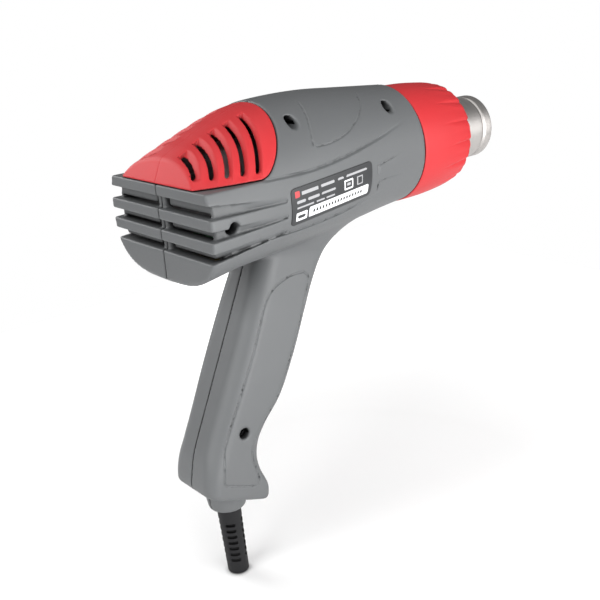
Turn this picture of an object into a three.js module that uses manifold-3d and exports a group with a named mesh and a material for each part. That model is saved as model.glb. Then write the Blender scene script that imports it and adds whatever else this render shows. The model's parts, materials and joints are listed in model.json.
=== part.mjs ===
// Two-stage pistol-grip heat gun, 2000 W class, as an assembly of separate pieces.
//
// Frame while modelling: +X runs along the barrel towards the nozzle, +Y is the gun's left,
// +Z is up, x = 0 is the flat rear face and z = 0 is the axis of the barrel and nozzle.
// The finished group is shifted so that its origin lies under the middle of its length,
// level with the lower end of the cord boot. Millimetres throughout.
import * as THREE from 'three';
import { mergeVertices } from 'three/addons/utils/BufferGeometryUtils.js';
import Module from 'manifold-3d';

const wasm = await Module();
wasm.setup();

// ---------------------------------------------------------------- driving dimensions
const GAP = 0.3;                  // clearance between pieces that rest on each other
const WALL = 2.5;                 // moulded shell thickness
const BIG = 200;                  // longer than the object, for cutting tools

const LENGTH = 205.8;             // rear face to nozzle rim
const NOZZLE_RADIUS = 17;         // 34 mm outlet, takes slip-on nozzles
const NOZZLE_WALL = 0.8;
const NOZZLE_BEAD_LENGTH = 5;     // thicker ring at the rim
const NOZZLE_BEAD_WALL = 1.4;
const NOZZLE_START = 101.6;

const BARREL_END = 138.3;         // where the grey housing meets the red collar
const COLLAR_END = 177.9;
const COLLAR_REAR_RADIUS = 30;
const COLLAR_FRONT_RADIUS = 26.4;
const FLUTES = 16;                // shallow grip flutes around the collar's front
const FLUTE_TURN = THREE.MathUtils.degToRad(2.5);
const SPIGOT_RADIUS = 26;         // housing tube that carries the collar
const SPIGOT_LENGTH = 14;

// Barrel sections: x, half width, top, bottom, level of greatest width, power above, power below
const BODY_SECTIONS = [
  [0, 41.3, 28.0, -38.3, -10, 2.2, 3.0],
  [20, 40.7, 30.6, -37.4, -9.5, 2.2, 2.4],
  [42, 39.4, 32.9, -36.6, -8, 2.15, 2.25],
  [56, 38.3, 34.3, -36.0, -6.5, 2.1, 2.2],
  [70, 37.0, 35.0, -35.3, -5, 2.08, 2.15],
  [87, 35.2, 34.9, -34.1, -3, 2.05, 2.1],
  [104, 33.3, 33.7, -32.6, -1.5, 2.0, 2.05],
  [122, 31.4, 32.3, -30.9, -0.5, 2.0, 2.0],
  [BARREL_END, 29.9, 31.0, -29.5, 0, 2.0, 2.0],
];
// Dome of the red intake cover, same columns
const DOME_SECTIONS = [
  [0, 34.5, 12.9, -38.3, -10, 2.7, 3.0],
  [10, 36.9, 18.4, -38.0, -9.8, 2.42, 2.7],
  [20, 38.5, 22.8, -37.4, -9.5, 2.32, 2.4],
  [30, 39.3, 27.1, -37.0, -8.8, 2.22, 2.3],
  [42, 39.35, 31.5, -36.6, -8, 2.15, 2.25],
  [56, 38.25, 34.25, -36.0, -6.5, 2.1, 2.2],
];
const COVER_BASE = 5.2;           // level of the cover's lower edge
const COVER_FRONT = [[32.5, 5.2], [44.2, 12.2], [53.4, 34.5]]; // curve of its front edge, x and z
const COVER_FLOOR_FRONT = 32.5;   // the deck under the cover ends here
const COVER_REAR_LEAN = 0.45;     // the rear facet leans forward by this much per mm of height
// Vents: foot and head in side view, and how far from the centre line the head stops
const VENTS = [
  { foot: [4.6, 9.9], head: [11.0, 18.6], inner: 7 },
  { foot: [11.0, 9.4], head: [18.6, 21.7], inner: 7.5 },
  { foot: [17.2, 9.3], head: [26.6, 25.1], inner: 8 },
  { foot: [23.9, 9.2], head: [33.7, 27.7], inner: 9.2 },
  { foot: [30.8, 9.1], head: [41.3, 30.1], inner: 9.7 },
];
const VENT_HALF_WIDTH = 1.3;      // measured along the barrel

// Rear cooling grooves from the top one down: floor and roof at the rear, then at the front
const GROOVES = [[-5.4, 0.5, -6.0, -4.2], [-14.8, -10.1, -13.1, -11.3], [-24.3, -19.6, -20.0, -18.2]];
const GROOVE_DEPTH = 3.5;
const GROOVE_RUN = 41.5;          // how far the grooves run forward along the sides
const REAR_POST = 2.6;            // half width of the web on the centre line
const POST_SETBACK = 1.1;         // the web lies this far behind the slabs
const SLIT_HEIGHT = 1.4;
const REAR_WALL = 6.4;            // solid rear stand, grooves included

// Handle: a frame (u forwards, s down the handle) that starts at its rear seam
const HANDLE_TOP = [42.5, -40.6];
const HANDLE_TILT = THREE.MathUtils.degToRad(25.1);
// s, rear u, front u, half thickness
const HANDLE_SECTIONS = [
  [-26, 0.0, 41.4, 16.4],
  [-12, 0.0, 36.8, 15.2],
  [-2, 0.0, 35.5, 15.2],
  [12, 0.0, 34.6, 16.0],
  [38, 0.0, 34.1, 17.3],
  [60, 0.0, 32.0, 17.3],
  [73, 0.0, 27.8, 16.9],
  [81, 0.0, 26.6, 16.8],
  [89, 0.0, 28.3, 16.9],
  [96, 0.5, 32.6, 17.2],
  [103, 1.9, 39.1, 17.5],
  [108, 3.2, 41.0, 17.4],
  [112, 4.6, 40.4, 16.6],
];
const HANDLE_POWER = 3.4;
const HANDLE_FLOOR = 107;         // inner floor of the handle

// Cable entry: a tapered neck under the handle and the rubber boot in it
const NECK_X = 18.4;
const NECK_TOP = -146;
const NECK_END = -163.2;
const NECK_TOP_RADIUS = 11;
const NECK_END_RADIUS = 8.7;
const BOOT_END = -200.5;
const BOOT_TOP_RADIUS = 6.5;
const BOOT_END_RADIUS = 5.4;
const BOOT_LEAN = 0.05;           // the boot hangs forward by this much per mm
const BOOT_HOLE_ROOM = 0.8;       // clearance around the boot in the neck, lean included
const BOOT_BORE = 3.6;            // for a 7 mm cord
const BOOT_FLANGE_RADIUS = 8.1;
const BOOT_FLANGE_TOP = -150.2;
const BOOT_FLANGE_THICKNESS = 3;
const BOOT_SLOTS = 7;             // slots in each of four columns
const BOOT_SLOT_PITCH = 2.62;
const BOOT_SLOT_HEIGHT = 1.1;
const BOOT_SLOT_HALF_WIDTH = 2.1;
const BOOT_SLOT_FLOOR = 4.4;      // the slots are blind; this is their floor from the axis
const BOOT_SLOT_FIRST = -178.3;
const BOOT_SLOT_TURN = 51.6;      // degrees from the gun's rear to the first column

// Motor, fan and heater, all on the barrel axis
const SHAFT_RADIUS = 1.6;
const BUSH_RADIUS = 4;
const MOTOR_RADIUS = 18;
const MOTOR_WALL = 1.3;
const MOTOR_REAR = 24;
const MOTOR_FRONT = 60;
const ARMATURE_RADIUS = 12.4;
const MAGNET_INNER = 13.2;
const FAN_HUB_RADIUS = 9;
const FAN_RADIUS = 26.8;
const FAN_REAR = 67;
const FAN_FRONT = 80;
const FAN_BLADES = 9;
const DUCT_RADIUS = 29.5;
const DUCT_WALL = 1.6;
const DUCT_REAR = 63.6;
const DUCT_FRONT = 98;
const DUCT_THROAT = 19;
const HEATER_FRONT = 193;
const SLEEVE_RADIUS = 15.7;
const SLEEVE_WALL = 0.7;
const CORE_RADIUS = 11.6;
const CORE_VANE = 1.2;
const COIL_RADIUS = 13;
const COIL_WIRE = 0.75;
const COIL_TURNS = 8;

const LEAD_RADIUS = 0.9;          // insulated wires inside

// Housing screws: x and z on the right-hand side, and how deep the head sits
const SCREWS = [
  { at: [57.6, 24.9], head: -15 },
  { at: [121, 23], head: -12 },
  { at: [11.6, -11], head: -31 },
  { at: [21.3, -117.2], head: -11 },
];
const RIB_THICKNESS = 2;
const BOSS_RADIUS = 3.9;
const SCREW_RECESS_RADIUS = 3.2;
const SCREW_HEAD_RADIUS = 2.8;
const SCREW_SHANK_RADIUS = 1.5;

// Clamp bar across the cord, inside the foot of the handle
const CLAMP_Z = -139.7;
const CLAMP_Y = 4.2;
const CLAMP_SCREWS = [NECK_X - 5.4, NECK_X + 5.4];

// Rocker switch in the front of the handle
const SWITCH_S = 30;              // middle of the switch, along the handle
const SWITCH_HALF_LENGTH = 11;
const SWITCH_HALF_WIDTH = 7;
const SWITCH_PIVOT_U = 28.5;
const TAG_U = 10;                 // rear ends of the switch's tags
const TAG_PITCH = 6;
const ROCKER_HALF_LENGTH = 8.6;
const ROCKER_HALF_WIDTH = 5.4;
const ROCKER_SWING_ROOM = 1.6;
const ROCKER_RADIUS = 7;          // of the rocker's barrel, about its pivot

// Rating label
const LABEL_CORNER = [43.4, -17.7];
const LABEL_SIZE = [53.4, 16.7];
const LABEL_RISE = 0.06;          // slope of its long edges
const LABEL_THICKNESS = 0.35;

// ---------------------------------------------------------------- materials
function plastic(colour, roughness = 0.6) {
  return new THREE.MeshStandardMaterial({ color: colour, roughness, metalness: 0 });
}

function metal(colour, roughness = 0.35) {
  return new THREE.MeshStandardMaterial({ color: colour, roughness, metalness: 1 });
}

const GREY = 0x6d7072;
const RED = 0xe0434a;
const BLACK = 0x2a2b2d;
const STEEL = 0xb9b4ab;
const COPPER = 0xb87345;
const MICA = 0xb8a988;
const CERAMIC = 0xe4e0d4;

// ---------------------------------------------------------------- solids
function flipTriangles(index) {
  for (let i = 0; i < index.length; i += 3) {
    const last = index[i + 2];
    index[i + 2] = index[i + 1];
    index[i + 1] = last;
  }
}

function signedVolume(position, index) {
  let sum = 0;
  const [a, b, c] = [new THREE.Vector3(), new THREE.Vector3(), new THREE.Vector3()];
  for (let i = 0; i < index.length; i += 3) {
    a.fromArray(position, 3 * index[i]);
    b.fromArray(position, 3 * index[i + 1]);
    c.fromArray(position, 3 * index[i + 2]);
    sum += a.dot(b.cross(c));
  }
  return sum / 6;
}

// A closed three.js geometry as a solid, with its faces pointing out
function solidOf(geometry) {
  const bare = geometry.clone();
  bare.deleteAttribute('normal');
  bare.deleteAttribute('uv');
  const merged = mergeVertices(bare, 1e-4);
  const position = Float32Array.from(merged.attributes.position.array);
  const all = Array.from(merged.index.array);
  const kept = [];
  for (let i = 0; i < all.length; i += 3) {
    const [a, b, c] = all.slice(i, i + 3);
    if (a !== b && b !== c && c !== a) kept.push(a, b, c);
  }
  if (signedVolume(position, kept) < 0) flipTriangles(kept);
  const mesh = new wasm.Mesh({ numProp: 3, vertProperties: position, triVerts: Uint32Array.from(kept) });
  return new wasm.Manifold(mesh);
}

function geometryOf(solid) {
  const mesh = solid.getMesh();
  const geometry = new THREE.BufferGeometry();
  const position = Float32Array.from(mesh.vertProperties);
  geometry.setAttribute('position', new THREE.BufferAttribute(position, 3));
  geometry.setIndex(Array.from(mesh.triVerts));
  return geometry;
}

function joined(...solids) {
  return solids.reduce((sum, solid) => sum.add(solid));
}

function cut(solid, ...tools) {
  return tools.reduce((rest, tool) => rest.subtract(tool), solid);
}

function block(x0, x1, y0, y1, z0, z1) {
  const geometry = new THREE.BoxGeometry(x1 - x0, y1 - y0, z1 - z0);
  geometry.translate((x0 + x1) / 2, (y0 + y1) / 2, (z0 + z1) / 2);
  return solidOf(geometry);
}

// Solid turned about the X axis from [x, radius] points, closed on itself or on the axis
function turnedX(profile, segments = 32) {
  const points = profile.map(([x, radius]) => new THREE.Vector2(radius, x));
  const geometry = new THREE.LatheGeometry(points, segments);
  geometry.rotateZ(-Math.PI / 2);
  return solidOf(geometry);
}

// Solid turned about the Z axis from [z, radius] points
function turnedZ(profile, segments = 32) {
  const points = profile.map(([z, radius]) => new THREE.Vector2(radius, z));
  const geometry = new THREE.LatheGeometry(points, segments);
  geometry.rotateX(Math.PI / 2);
  return solidOf(geometry);
}

function rodX(x0, x1, radius, segments = 32) {
  return turnedX([[x0, 0], [x0, radius], [x1, radius], [x1, 0]], segments);
}

function tubeX(x0, x1, inner, outer, segments = 32) {
  return turnedX([[x0, inner], [x0, outer], [x1, outer], [x1, inner], [x0, inner]], segments);
}

function rodY(x, z, y0, y1, radius, segments = 20) {
  const geometry = new THREE.CylinderGeometry(radius, radius, y1 - y0, segments);
  geometry.translate(x, (y0 + y1) / 2, z);
  return solidOf(geometry);
}

// Plate of an x-z outline between two y levels
function plateXZ(outline, y0, y1) {
  const shape = new THREE.Shape(outline.map(([x, z]) => new THREE.Vector2(x, z)));
  const geometry = new THREE.ExtrudeGeometry(shape, { depth: y1 - y0, bevelEnabled: false });
  geometry.rotateX(Math.PI / 2);
  geometry.translate(0, y1, 0);
  return solidOf(geometry);
}

// Closed skin over rings of equally many points, with a fan over each end
function loft(rings) {
  const count = rings[0].length;
  const position = [];
  const index = [];
  rings.forEach((ring) => ring.forEach((point) => position.push(...point)));
  for (let r = 0; r + 1 < rings.length; r++) {
    for (let i = 0; i < count; i++) {
      const j = (i + 1) % count;
      const [a, b] = [r * count + i, r * count + j];
      index.push(a, b, b + count, a, b + count, a + count);
    }
  }
  [0, rings.length - 1].forEach((r) => {
    const hub = position.length / 3;
    const middle = [0, 1, 2].map((k) => rings[r].reduce((sum, point) => sum + point[k], 0) / count);
    position.push(...middle);
    for (let i = 0; i < count; i++) {
      const [a, b] = [r * count + i, r * count + ((i + 1) % count)];
      if (r === 0) index.push(hub, b, a);
      else index.push(hub, a, b);
    }
  });
  const geometry = new THREE.BufferGeometry();
  geometry.setAttribute('position', new THREE.Float32BufferAttribute(position, 3));
  geometry.setIndex(index);
  return solidOf(geometry);
}

// Smooth values between the rows of a section table, at any first-column value
function sectionAt(table, at) {
  const last = table.length - 1;
  let i = 0;
  while (i < last - 1 && at > table[i + 1][0]) i++;
  const [p, q] = [table[i], table[i + 1]];
  const before = table[Math.max(i - 1, 0)];
  const after = table[Math.min(i + 2, last)];
  const span = q[0] - p[0];
  const t = (at - p[0]) / span;
  return p.map((value, k) => {
    if (k === 0) return at;
    const slopeIn = (q[k] - before[k]) / (q[0] - before[0]);
    const slopeOut = (after[k] - value) / (after[0] - p[0]);
    const h1 = 2 * t ** 3 - 3 * t ** 2 + 1;
    const h2 = t ** 3 - 2 * t ** 2 + t;
    const h3 = -2 * t ** 3 + 3 * t ** 2;
    const h4 = t ** 3 - t ** 2;
    return h1 * value + h2 * span * slopeIn + h3 * q[k] + h4 * span * slopeOut;
  });
}

function powered(value, power) {
  return Math.sign(value) * Math.abs(value) ** (2 / power);
}

// ---------------------------------------------------------------- barrel and handle forms
const BODY_POINTS = 36;
const HANDLE_POINTS = 24;

// One barrel section at x, drawn in by an inset on every side
function bodyRing(table, x, inset) {
  const [, width, top, bottom, middle, powerUp, powerDown] = sectionAt(table, x);
  return Array.from({ length: BODY_POINTS }, (_, i) => {
    const angle = (2 * Math.PI * i) / BODY_POINTS;
    const [c, s] = [Math.cos(angle), Math.sin(angle)];
    const power = s >= 0 ? powerUp : powerDown;
    const reach = s >= 0 ? top - middle - inset : middle - bottom - inset;
    return [x, (width - inset) * powered(c, power), middle + reach * powered(s, power)];
  });
}

function bodyForm(table, from, to, steps, insetAt = () => 0) {
  const rings = [];
  for (let i = 0; i <= steps; i++) {
    const x = from + ((to - from) * i) / steps;
    rings.push(bodyRing(table, x, insetAt(x)));
  }
  return loft(rings);
}

// Half width of the barrel at a given x and level
function sideAt(x, z) {
  const [, width, top, bottom, middle, powerUp, powerDown] = sectionAt(BODY_SECTIONS, x);
  const up = z >= middle;
  const power = up ? powerUp : powerDown;
  const share = Math.abs(z - middle) / (up ? top - middle : middle - bottom);
  return width * (1 - share ** power) ** (1 / power);
}

// Handle frame to x and z
function handlePoint(u, s) {
  const [sin, cos] = [Math.sin(HANDLE_TILT), Math.cos(HANDLE_TILT)];
  return [HANDLE_TOP[0] - s * sin + u * cos, HANDLE_TOP[1] - s * cos - u * sin];
}

function handleRing(s, inset) {
  const [, rear, front, thickness] = sectionAt(HANDLE_SECTIONS, s);
  const middle = (rear + front) / 2;
  const depth = (front - rear) / 2 - inset;
  return Array.from({ length: HANDLE_POINTS }, (_, i) => {
    const angle = (2 * Math.PI * i) / HANDLE_POINTS;
    const u = middle + depth * powered(Math.cos(angle), HANDLE_POWER);
    const y = (thickness - inset) * powered(Math.sin(angle), HANDLE_POWER);
    const [x, z] = handlePoint(u, s);
    return [x, y, z];
  });
}

function handleForm(levels, inset = 0) {
  return loft(levels.map((s) => handleRing(s, inset)));
}

// A box drawn in the handle frame
function handleBlock(u0, u1, y0, y1, s0, s1) {
  const outline = [[u0, s0], [u1, s0], [u1, s1], [u0, s1]].map(([u, s]) => handlePoint(u, s));
  return plateXZ(outline, y0, y1);
}

// ---------------------------------------------------------------- housing
// Space taken by the red cover: above its base and behind its slanted front edge
function coverZone(grow) {
  const [start, pull, end] = COVER_FRONT.map(([x, z]) => new THREE.Vector2(x + grow, z - grow));
  const front = new THREE.QuadraticBezierCurve(start, pull, end).getPoints(6).map((p) => p.toArray());
  return plateXZ([[-20, start.y], ...front, [end.x, 60], [-20, 60]], -BIG, BIG);
}

// Rear grooves and their slits, on one side of the centre line (side is 1 or -1)
function grooveTools(side) {
  const tools = [];
  GROOVES.forEach(([low, high, lowEnd, highEnd]) => {
    const edges = [side * REAR_POST, side * BIG].sort((a, b) => a - b);
    tools.push(block(-1, GROOVE_DEPTH, edges[0], edges[1], low, high));
    tools.push(block(-1, POST_SETBACK, -REAR_POST - 1, REAR_POST + 1, low, high));
    const slit = [side * (REAR_POST + 1), side * 32].sort((a, b) => a - b);
    tools.push(block(1, REAR_WALL + 1, slit[0], slit[1], low, low + SLIT_HEIGHT));
    const stations = [[-1, low, high, GROOVE_DEPTH - 0.2], [GROOVE_RUN, lowEnd, highEnd, 0.9]];
    const rings = stations.map(([x, floor, roof, depth]) => {
      const inner = side * (sideAt(x, floor) - depth);
      const outer = side * (sideAt(x, floor) + 10);
      return [[x, inner, floor], [x, outer, floor], [x, outer, roof], [x, inner, roof]];
    });
    tools.push(loft(rings));
  });
  return tools;
}

function boss(screw, side) {
  const [x, z] = screw.at;
  const wallY = side * 60;
  const [y0, y1] = [Math.min(0, wallY), Math.max(0, wallY)];
  return rodY(x, z, y0, y1, BOSS_RADIUS, 14);
}

// Cross web on both sides of a round piece, open above and below it for the air
function ribAt(x, bore, reach) {
  const web = block(x, x + RIB_THICKNESS, -BIG, BIG, -reach, reach);
  return cut(web, rodX(x - 1, x + RIB_THICKNESS + 1, bore));
}

function handleLevels(end) {
  return [-26, -14, -2, 12, 38, 60, 73, 81, 89, 96, 103, 108, 112].filter((s) => s < end).concat(end);
}

function spigot() {
  const end = BARREL_END + SPIGOT_LENGTH;
  return tubeX(BARREL_END - 1, end, SPIGOT_RADIUS - WALL, SPIGOT_RADIUS);
}

function neckForm() {
  const profile = [[NECK_TOP, 0], [NECK_TOP, NECK_TOP_RADIUS], [NECK_TOP - 8, NECK_TOP_RADIUS - 0.6]];
  profile.push([NECK_END + 2.2, NECK_END_RADIUS + 0.9], [NECK_END, NECK_END_RADIUS], [NECK_END, 0]);
  return turnedZ(profile).translate([NECK_X, 0, 0]);
}

// Room in the neck for the boot: a pocket for its flange and a hole below it
function bootRoom() {
  const hole = BOOT_TOP_RADIUS + BOOT_HOLE_ROOM;
  const pocket = BOOT_FLANGE_RADIUS + GAP + 0.1;
  const floor = BOOT_FLANGE_TOP - BOOT_FLANGE_THICKNESS - GAP;
  const profile = [[NECK_END - 1, 0], [NECK_END - 1, hole], [floor, hole], [floor, pocket]];
  profile.push([-138, pocket], [-138, 0]);
  return turnedZ(profile).translate([NECK_X, 0, 0]);
}

function outerForm() {
  const barrel = bodyForm(BODY_SECTIONS, 0, BARREL_END, 12);
  const handle = handleForm(handleLevels(112));
  return joined(barrel, handle, neckForm());
}

// The shell is thicker at the rear, where the grooves are deep
function wallAt(x) {
  return WALL + 3 * Math.max(0, 1 - x / GROOVE_RUN);
}

function innerForm() {
  const barrel = bodyForm(BODY_SECTIONS, REAR_WALL, BARREL_END - WALL, 9, wallAt);
  const deck = cut(
    block(-1, COVER_FLOOR_FRONT, -BIG, BIG, COVER_BASE - WALL, COVER_BASE + 1),
    block(REAR_WALL, COVER_FLOOR_FRONT + 1, -26, 26, -BIG, BIG),
  );
  const handle = handleForm(handleLevels(HANDLE_FLOOR), WALL);
  return joined(cut(barrel, deck), handle);
}

// Opening for the switch through the front wall of the handle
function switchWindow() {
  const [length, width] = [SWITCH_HALF_LENGTH + GAP, SWITCH_HALF_WIDTH + GAP];
  return handleBlock(20, 45, -width, width, SWITCH_S - length, SWITCH_S + length);
}

function wholeHousing() {
  const bosses = SCREWS.flatMap((screw) => [boss(screw, 1), boss(screw, -1)]);
  const ribs = [
    ribAt(30, MOTOR_RADIUS + GAP, 9),
    ribAt(57, MOTOR_RADIUS + GAP, 9),
    ribAt(NOZZLE_START + 1.2 + GAP, NOZZLE_RADIUS + GAP, 12),
  ];
  const shell = cut(outerForm(), cut(innerForm(), ...bosses, ...ribs));
  const barrelBore = rodX(BARREL_END - 5, BARREL_END + 40, SPIGOT_RADIUS - WALL);
  const cutters = [coverZone(0), barrelBore, bootRoom(), switchWindow()];
  return cut(joined(shell, spigot()), ...cutters, ...grooveTools(1), ...grooveTools(-1));
}

function screwHole(screw, side) {
  const [x, z] = screw.at;
  if (side > 0) return rodY(x, z, -1, 12, SCREW_SHANK_RADIUS + GAP / 2);
  const recess = rodY(x, z, -80, screw.head, SCREW_RECESS_RADIUS);
  return joined(recess, rodY(x, z, -80, 1, SCREW_SHANK_RADIUS + GAP));
}

const housing = wholeHousing();

function housingHalf(side) {
  const edge = (side * GAP) / 2;
  const [y0, y1] = side > 0 ? [edge, BIG] : [-BIG, edge];
  const half = housing.intersect(block(-BIG, 2 * BIG, y0, y1, -2 * BIG, BIG));
  return cut(half, ...SCREWS.map((screw) => screwHole(screw, side)));
}

// Posts on the right-hand half that the cord clamp is screwed to
function clampPosts() {
  const posts = CLAMP_SCREWS.map((x) => rodY(x, CLAMP_Z, -15.5, CLAMP_Y - GAP, 2.6, 12));
  const holes = CLAMP_SCREWS.map((x) => rodY(x, CLAMP_Z, -8, CLAMP_Y + 1, 1.5, 12));
  return cut(joined(...posts), ...holes);
}

function housingScrew(screw) {
  const [x, z] = screw.at;
  const head = rodY(x, z, screw.head - 2.2, screw.head - GAP, SCREW_HEAD_RADIUS);
  const shank = rodY(x, z, screw.head - 1, 9, SCREW_SHANK_RADIUS - GAP / 2, 12);
  const slot = [
    block(x - 1.8, x + 1.8, screw.head - 3, screw.head - 1.4, z - 0.35, z + 0.35),
    block(x - 0.35, x + 0.35, screw.head - 3, screw.head - 1.4, z - 1.8, z + 1.8),
  ];
  return cut(joined(head, shank), ...slot);
}

// ---------------------------------------------------------------- red covers
function vent({ foot, head, inner }, side) {
  const half = VENT_HALF_WIDTH;
  const outline = [
    [foot[0] - half, foot[1]],
    [foot[0] + half, foot[1]],
    [head[0] + half, head[1]],
    [head[0] - half, head[1]],
  ];
  return side > 0 ? plateXZ(outline, inner, 60) : plateXZ(outline, -60, -inner);
}

// Everything behind a plane that leans forward with height
function behindFacet(offset) {
  const height = 60;
  const foot = offset - COVER_REAR_LEAN * COVER_BASE;
  return plateXZ([[-20, 0], [foot, 0], [foot + COVER_REAR_LEAN * height, height], [-20, height]], -BIG, BIG);
}

function intakeCover() {
  const outside = bodyForm(DOME_SECTIONS, -1, 56, 10).intersect(coverZone(-GAP));
  const inside = bodyForm(DOME_SECTIONS, 1, 57, 8, () => WALL);
  const vents = VENTS.flatMap((place) => [vent(place, 1), vent(place, -1)]);
  return cut(outside, behindFacet(0), cut(inside, behindFacet(WALL)), ...vents);
}

function noseCollar() {
  const start = BARREL_END + GAP;
  const bore = SPIGOT_RADIUS + GAP + 0.1;
  const spigotEnd = BARREL_END + SPIGOT_LENGTH + GAP;
  const profile = [
    [start, bore],
    [start, COLLAR_REAR_RADIUS],
    [start + 8, COLLAR_REAR_RADIUS],
    [start + 16, COLLAR_REAR_RADIUS - 0.3],
    [start + 24, COLLAR_REAR_RADIUS - 0.9],
    [start + 32, COLLAR_REAR_RADIUS - 2.0],
    [COLLAR_END - 1, COLLAR_FRONT_RADIUS],
    [COLLAR_END, COLLAR_FRONT_RADIUS - 1],
    [COLLAR_END, NOZZLE_RADIUS + 1.3],
    [COLLAR_END - 2.5, NOZZLE_RADIUS + 1.3],
    [COLLAR_END - 2.5, COLLAR_FRONT_RADIUS - 3.7],
    [spigotEnd, COLLAR_REAR_RADIUS - 4.7],
    [spigotEnd, bore],
    [start, bore],
  ];
  const scallops = Array.from({ length: FLUTES }, (_, i) => {
    const angle = FLUTE_TURN + (2 * Math.PI * i) / FLUTES;
    const tool = new THREE.CylinderGeometry(11, 11, 40, 16);
    tool.rotateZ(-Math.PI / 2);
    tool.rotateY(THREE.MathUtils.degToRad(4.5));
    tool.translate(COLLAR_END, 0, COLLAR_FRONT_RADIUS + 10.6);
    tool.rotateX(angle);
    return solidOf(tool);
  });
  return cut(turnedX(profile, 36), ...scallops);
}

// Label: a thin plate that follows the curved side at a small gap
function ratingLabel() {
  const columns = 6;
  const rows = 4;
  const skin = (offset) => {
    const points = [];
    for (let c = 0; c <= columns; c++) {
      for (let r = 0; r <= rows; r++) {
        const [a, b] = [(LABEL_SIZE[0] * c) / columns, (LABEL_SIZE[1] * r) / rows];
        const x = LABEL_CORNER[0] + a;
        const z = LABEL_CORNER[1] + a * LABEL_RISE + b;
        points.push([x, -(sideAt(x, z) + offset), z]);
      }
    }
    return points;
  };
  const position = [...skin(GAP), ...skin(GAP + LABEL_THICKNESS)];
  const index = [];
  const half = position.length / 2;
  const id = (c, r) => c * (rows + 1) + r;
  const quad = (a, b, c, d) => index.push(a, b, c, a, c, d);
  for (let c = 0; c < columns; c++) {
    for (let r = 0; r < rows; r++) {
      const corners = [id(c, r), id(c + 1, r), id(c + 1, r + 1), id(c, r + 1)];
      quad(...corners.map((n) => n + half));
      quad(...corners.reverse());
    }
    quad(id(c, 0), id(c + 1, 0), id(c + 1, 0) + half, id(c, 0) + half);
    quad(id(c + 1, rows), id(c, rows), id(c, rows) + half, id(c + 1, rows) + half);
  }
  for (let r = 0; r < rows; r++) {
    quad(id(0, r + 1), id(0, r), id(0, r) + half, id(0, r + 1) + half);
    quad(id(columns, r), id(columns, r + 1), id(columns, r + 1) + half, id(columns, r) + half);
  }
  const geometry = new THREE.BufferGeometry();
  geometry.setAttribute('position', new THREE.Float32BufferAttribute(position.flat(), 3));
  geometry.setIndex(index);
  return solidOf(geometry);
}

// ---------------------------------------------------------------- nozzle and heater
function nozzleTube() {
  const inner = NOZZLE_RADIUS - NOZZLE_WALL;
  const beadStart = LENGTH - NOZZLE_BEAD_LENGTH;
  const profile = [
    [NOZZLE_START, inner],
    [NOZZLE_START, NOZZLE_RADIUS + 2.6],
    [NOZZLE_START + 1.2, NOZZLE_RADIUS + 2.6],
    [NOZZLE_START + 1.2, NOZZLE_RADIUS],
    [beadStart - 2.2, NOZZLE_RADIUS],
    [beadStart - 1.1, NOZZLE_RADIUS - 0.5],
    [beadStart, NOZZLE_RADIUS],
    [LENGTH, NOZZLE_RADIUS],
    [LENGTH, NOZZLE_RADIUS - NOZZLE_BEAD_WALL],
    [beadStart, NOZZLE_RADIUS - NOZZLE_BEAD_WALL],
    [beadStart - 2, inner],
    [NOZZLE_START, inner],
  ];
  return turnedX(profile, 32);
}

function heaterFlange() {
  return tubeX(DUCT_FRONT + GAP, NOZZLE_START - GAP, DUCT_THROAT - 4, 24, 32);
}

function micaSleeve() {
  return tubeX(NOZZLE_START + 2, HEATER_FRONT + 1, SLEEVE_RADIUS - SLEEVE_WALL, SLEEVE_RADIUS, 32);
}

// Mica cross that carries the heating coil
function heaterCore() {
  const half = CORE_VANE / 2;
  const start = NOZZLE_START + 6;
  const upright = block(start, HEATER_FRONT - 2, -half, half, -CORE_RADIUS, CORE_RADIUS);
  const level = block(start, HEATER_FRONT - 2, -CORE_RADIUS, CORE_RADIUS, -half, half);
  return joined(upright, level);
}

// A closed wire of round section along a curve
function wire(curve, radius, steps, sides) {
  const section = new THREE.Shape();
  for (let i = 0; i < sides; i++) {
    const angle = (2 * Math.PI * i) / sides;
    const [a, b] = [radius * Math.cos(angle), radius * Math.sin(angle)];
    if (i === 0) section.moveTo(a, b);
    else section.lineTo(a, b);
  }
  section.closePath();
  const geometry = new THREE.ExtrudeGeometry(section, { steps, extrudePath: curve, bevelEnabled: false });
  return solidOf(geometry);
}

class CoilCurve extends THREE.Curve {
  getPoint(t, target = new THREE.Vector3()) {
    const angle = 2 * Math.PI * COIL_TURNS * t;
    const start = NOZZLE_START + 9;
    const x = start + (HEATER_FRONT - 6 - start) * t;
    return target.set(x, COIL_RADIUS * Math.cos(angle), COIL_RADIUS * Math.sin(angle));
  }
}

function heaterWinding() {
  return wire(new CoilCurve(), COIL_WIRE, COIL_TURNS * 12, 4);
}

function perforatedDisc(x0, x1, radius, holeRing, holeRadius, holes) {
  const disc = rodX(x0, x1, radius, 32);
  const tools = Array.from({ length: holes }, (_, i) => {
    const angle = (2 * Math.PI * (i + 0.5)) / holes;
    const tool = new THREE.CylinderGeometry(holeRadius, holeRadius, x1 - x0 + 2, 12);
    tool.rotateZ(Math.PI / 2);
    tool.translate((x0 + x1) / 2, holeRing * Math.cos(angle), holeRing * Math.sin(angle));
    return solidOf(tool);
  });
  return cut(disc, ...tools, rodX(x0 - 1, x1 + 1, 2.4, 12));
}

function heaterEndDisc() {
  const radius = SLEEVE_RADIUS - SLEEVE_WALL - GAP;
  return perforatedDisc(HEATER_FRONT - 1.2, HEATER_FRONT + 0.8, radius, 9, 3.1, 8);
}

function heaterRearDisc() {
  const start = NOZZLE_START + 3;
  return perforatedDisc(start, start + 2, SLEEVE_RADIUS - SLEEVE_WALL - GAP, 9, 3.1, 8);
}

function thermalCutout() {
  const end = NOZZLE_START + 3 - GAP;
  return joined(block(end - 5, end, -4.2, 4.2, -3, 3), rodX(end - 6.4, end - 4, 2.2, 12));
}

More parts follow.
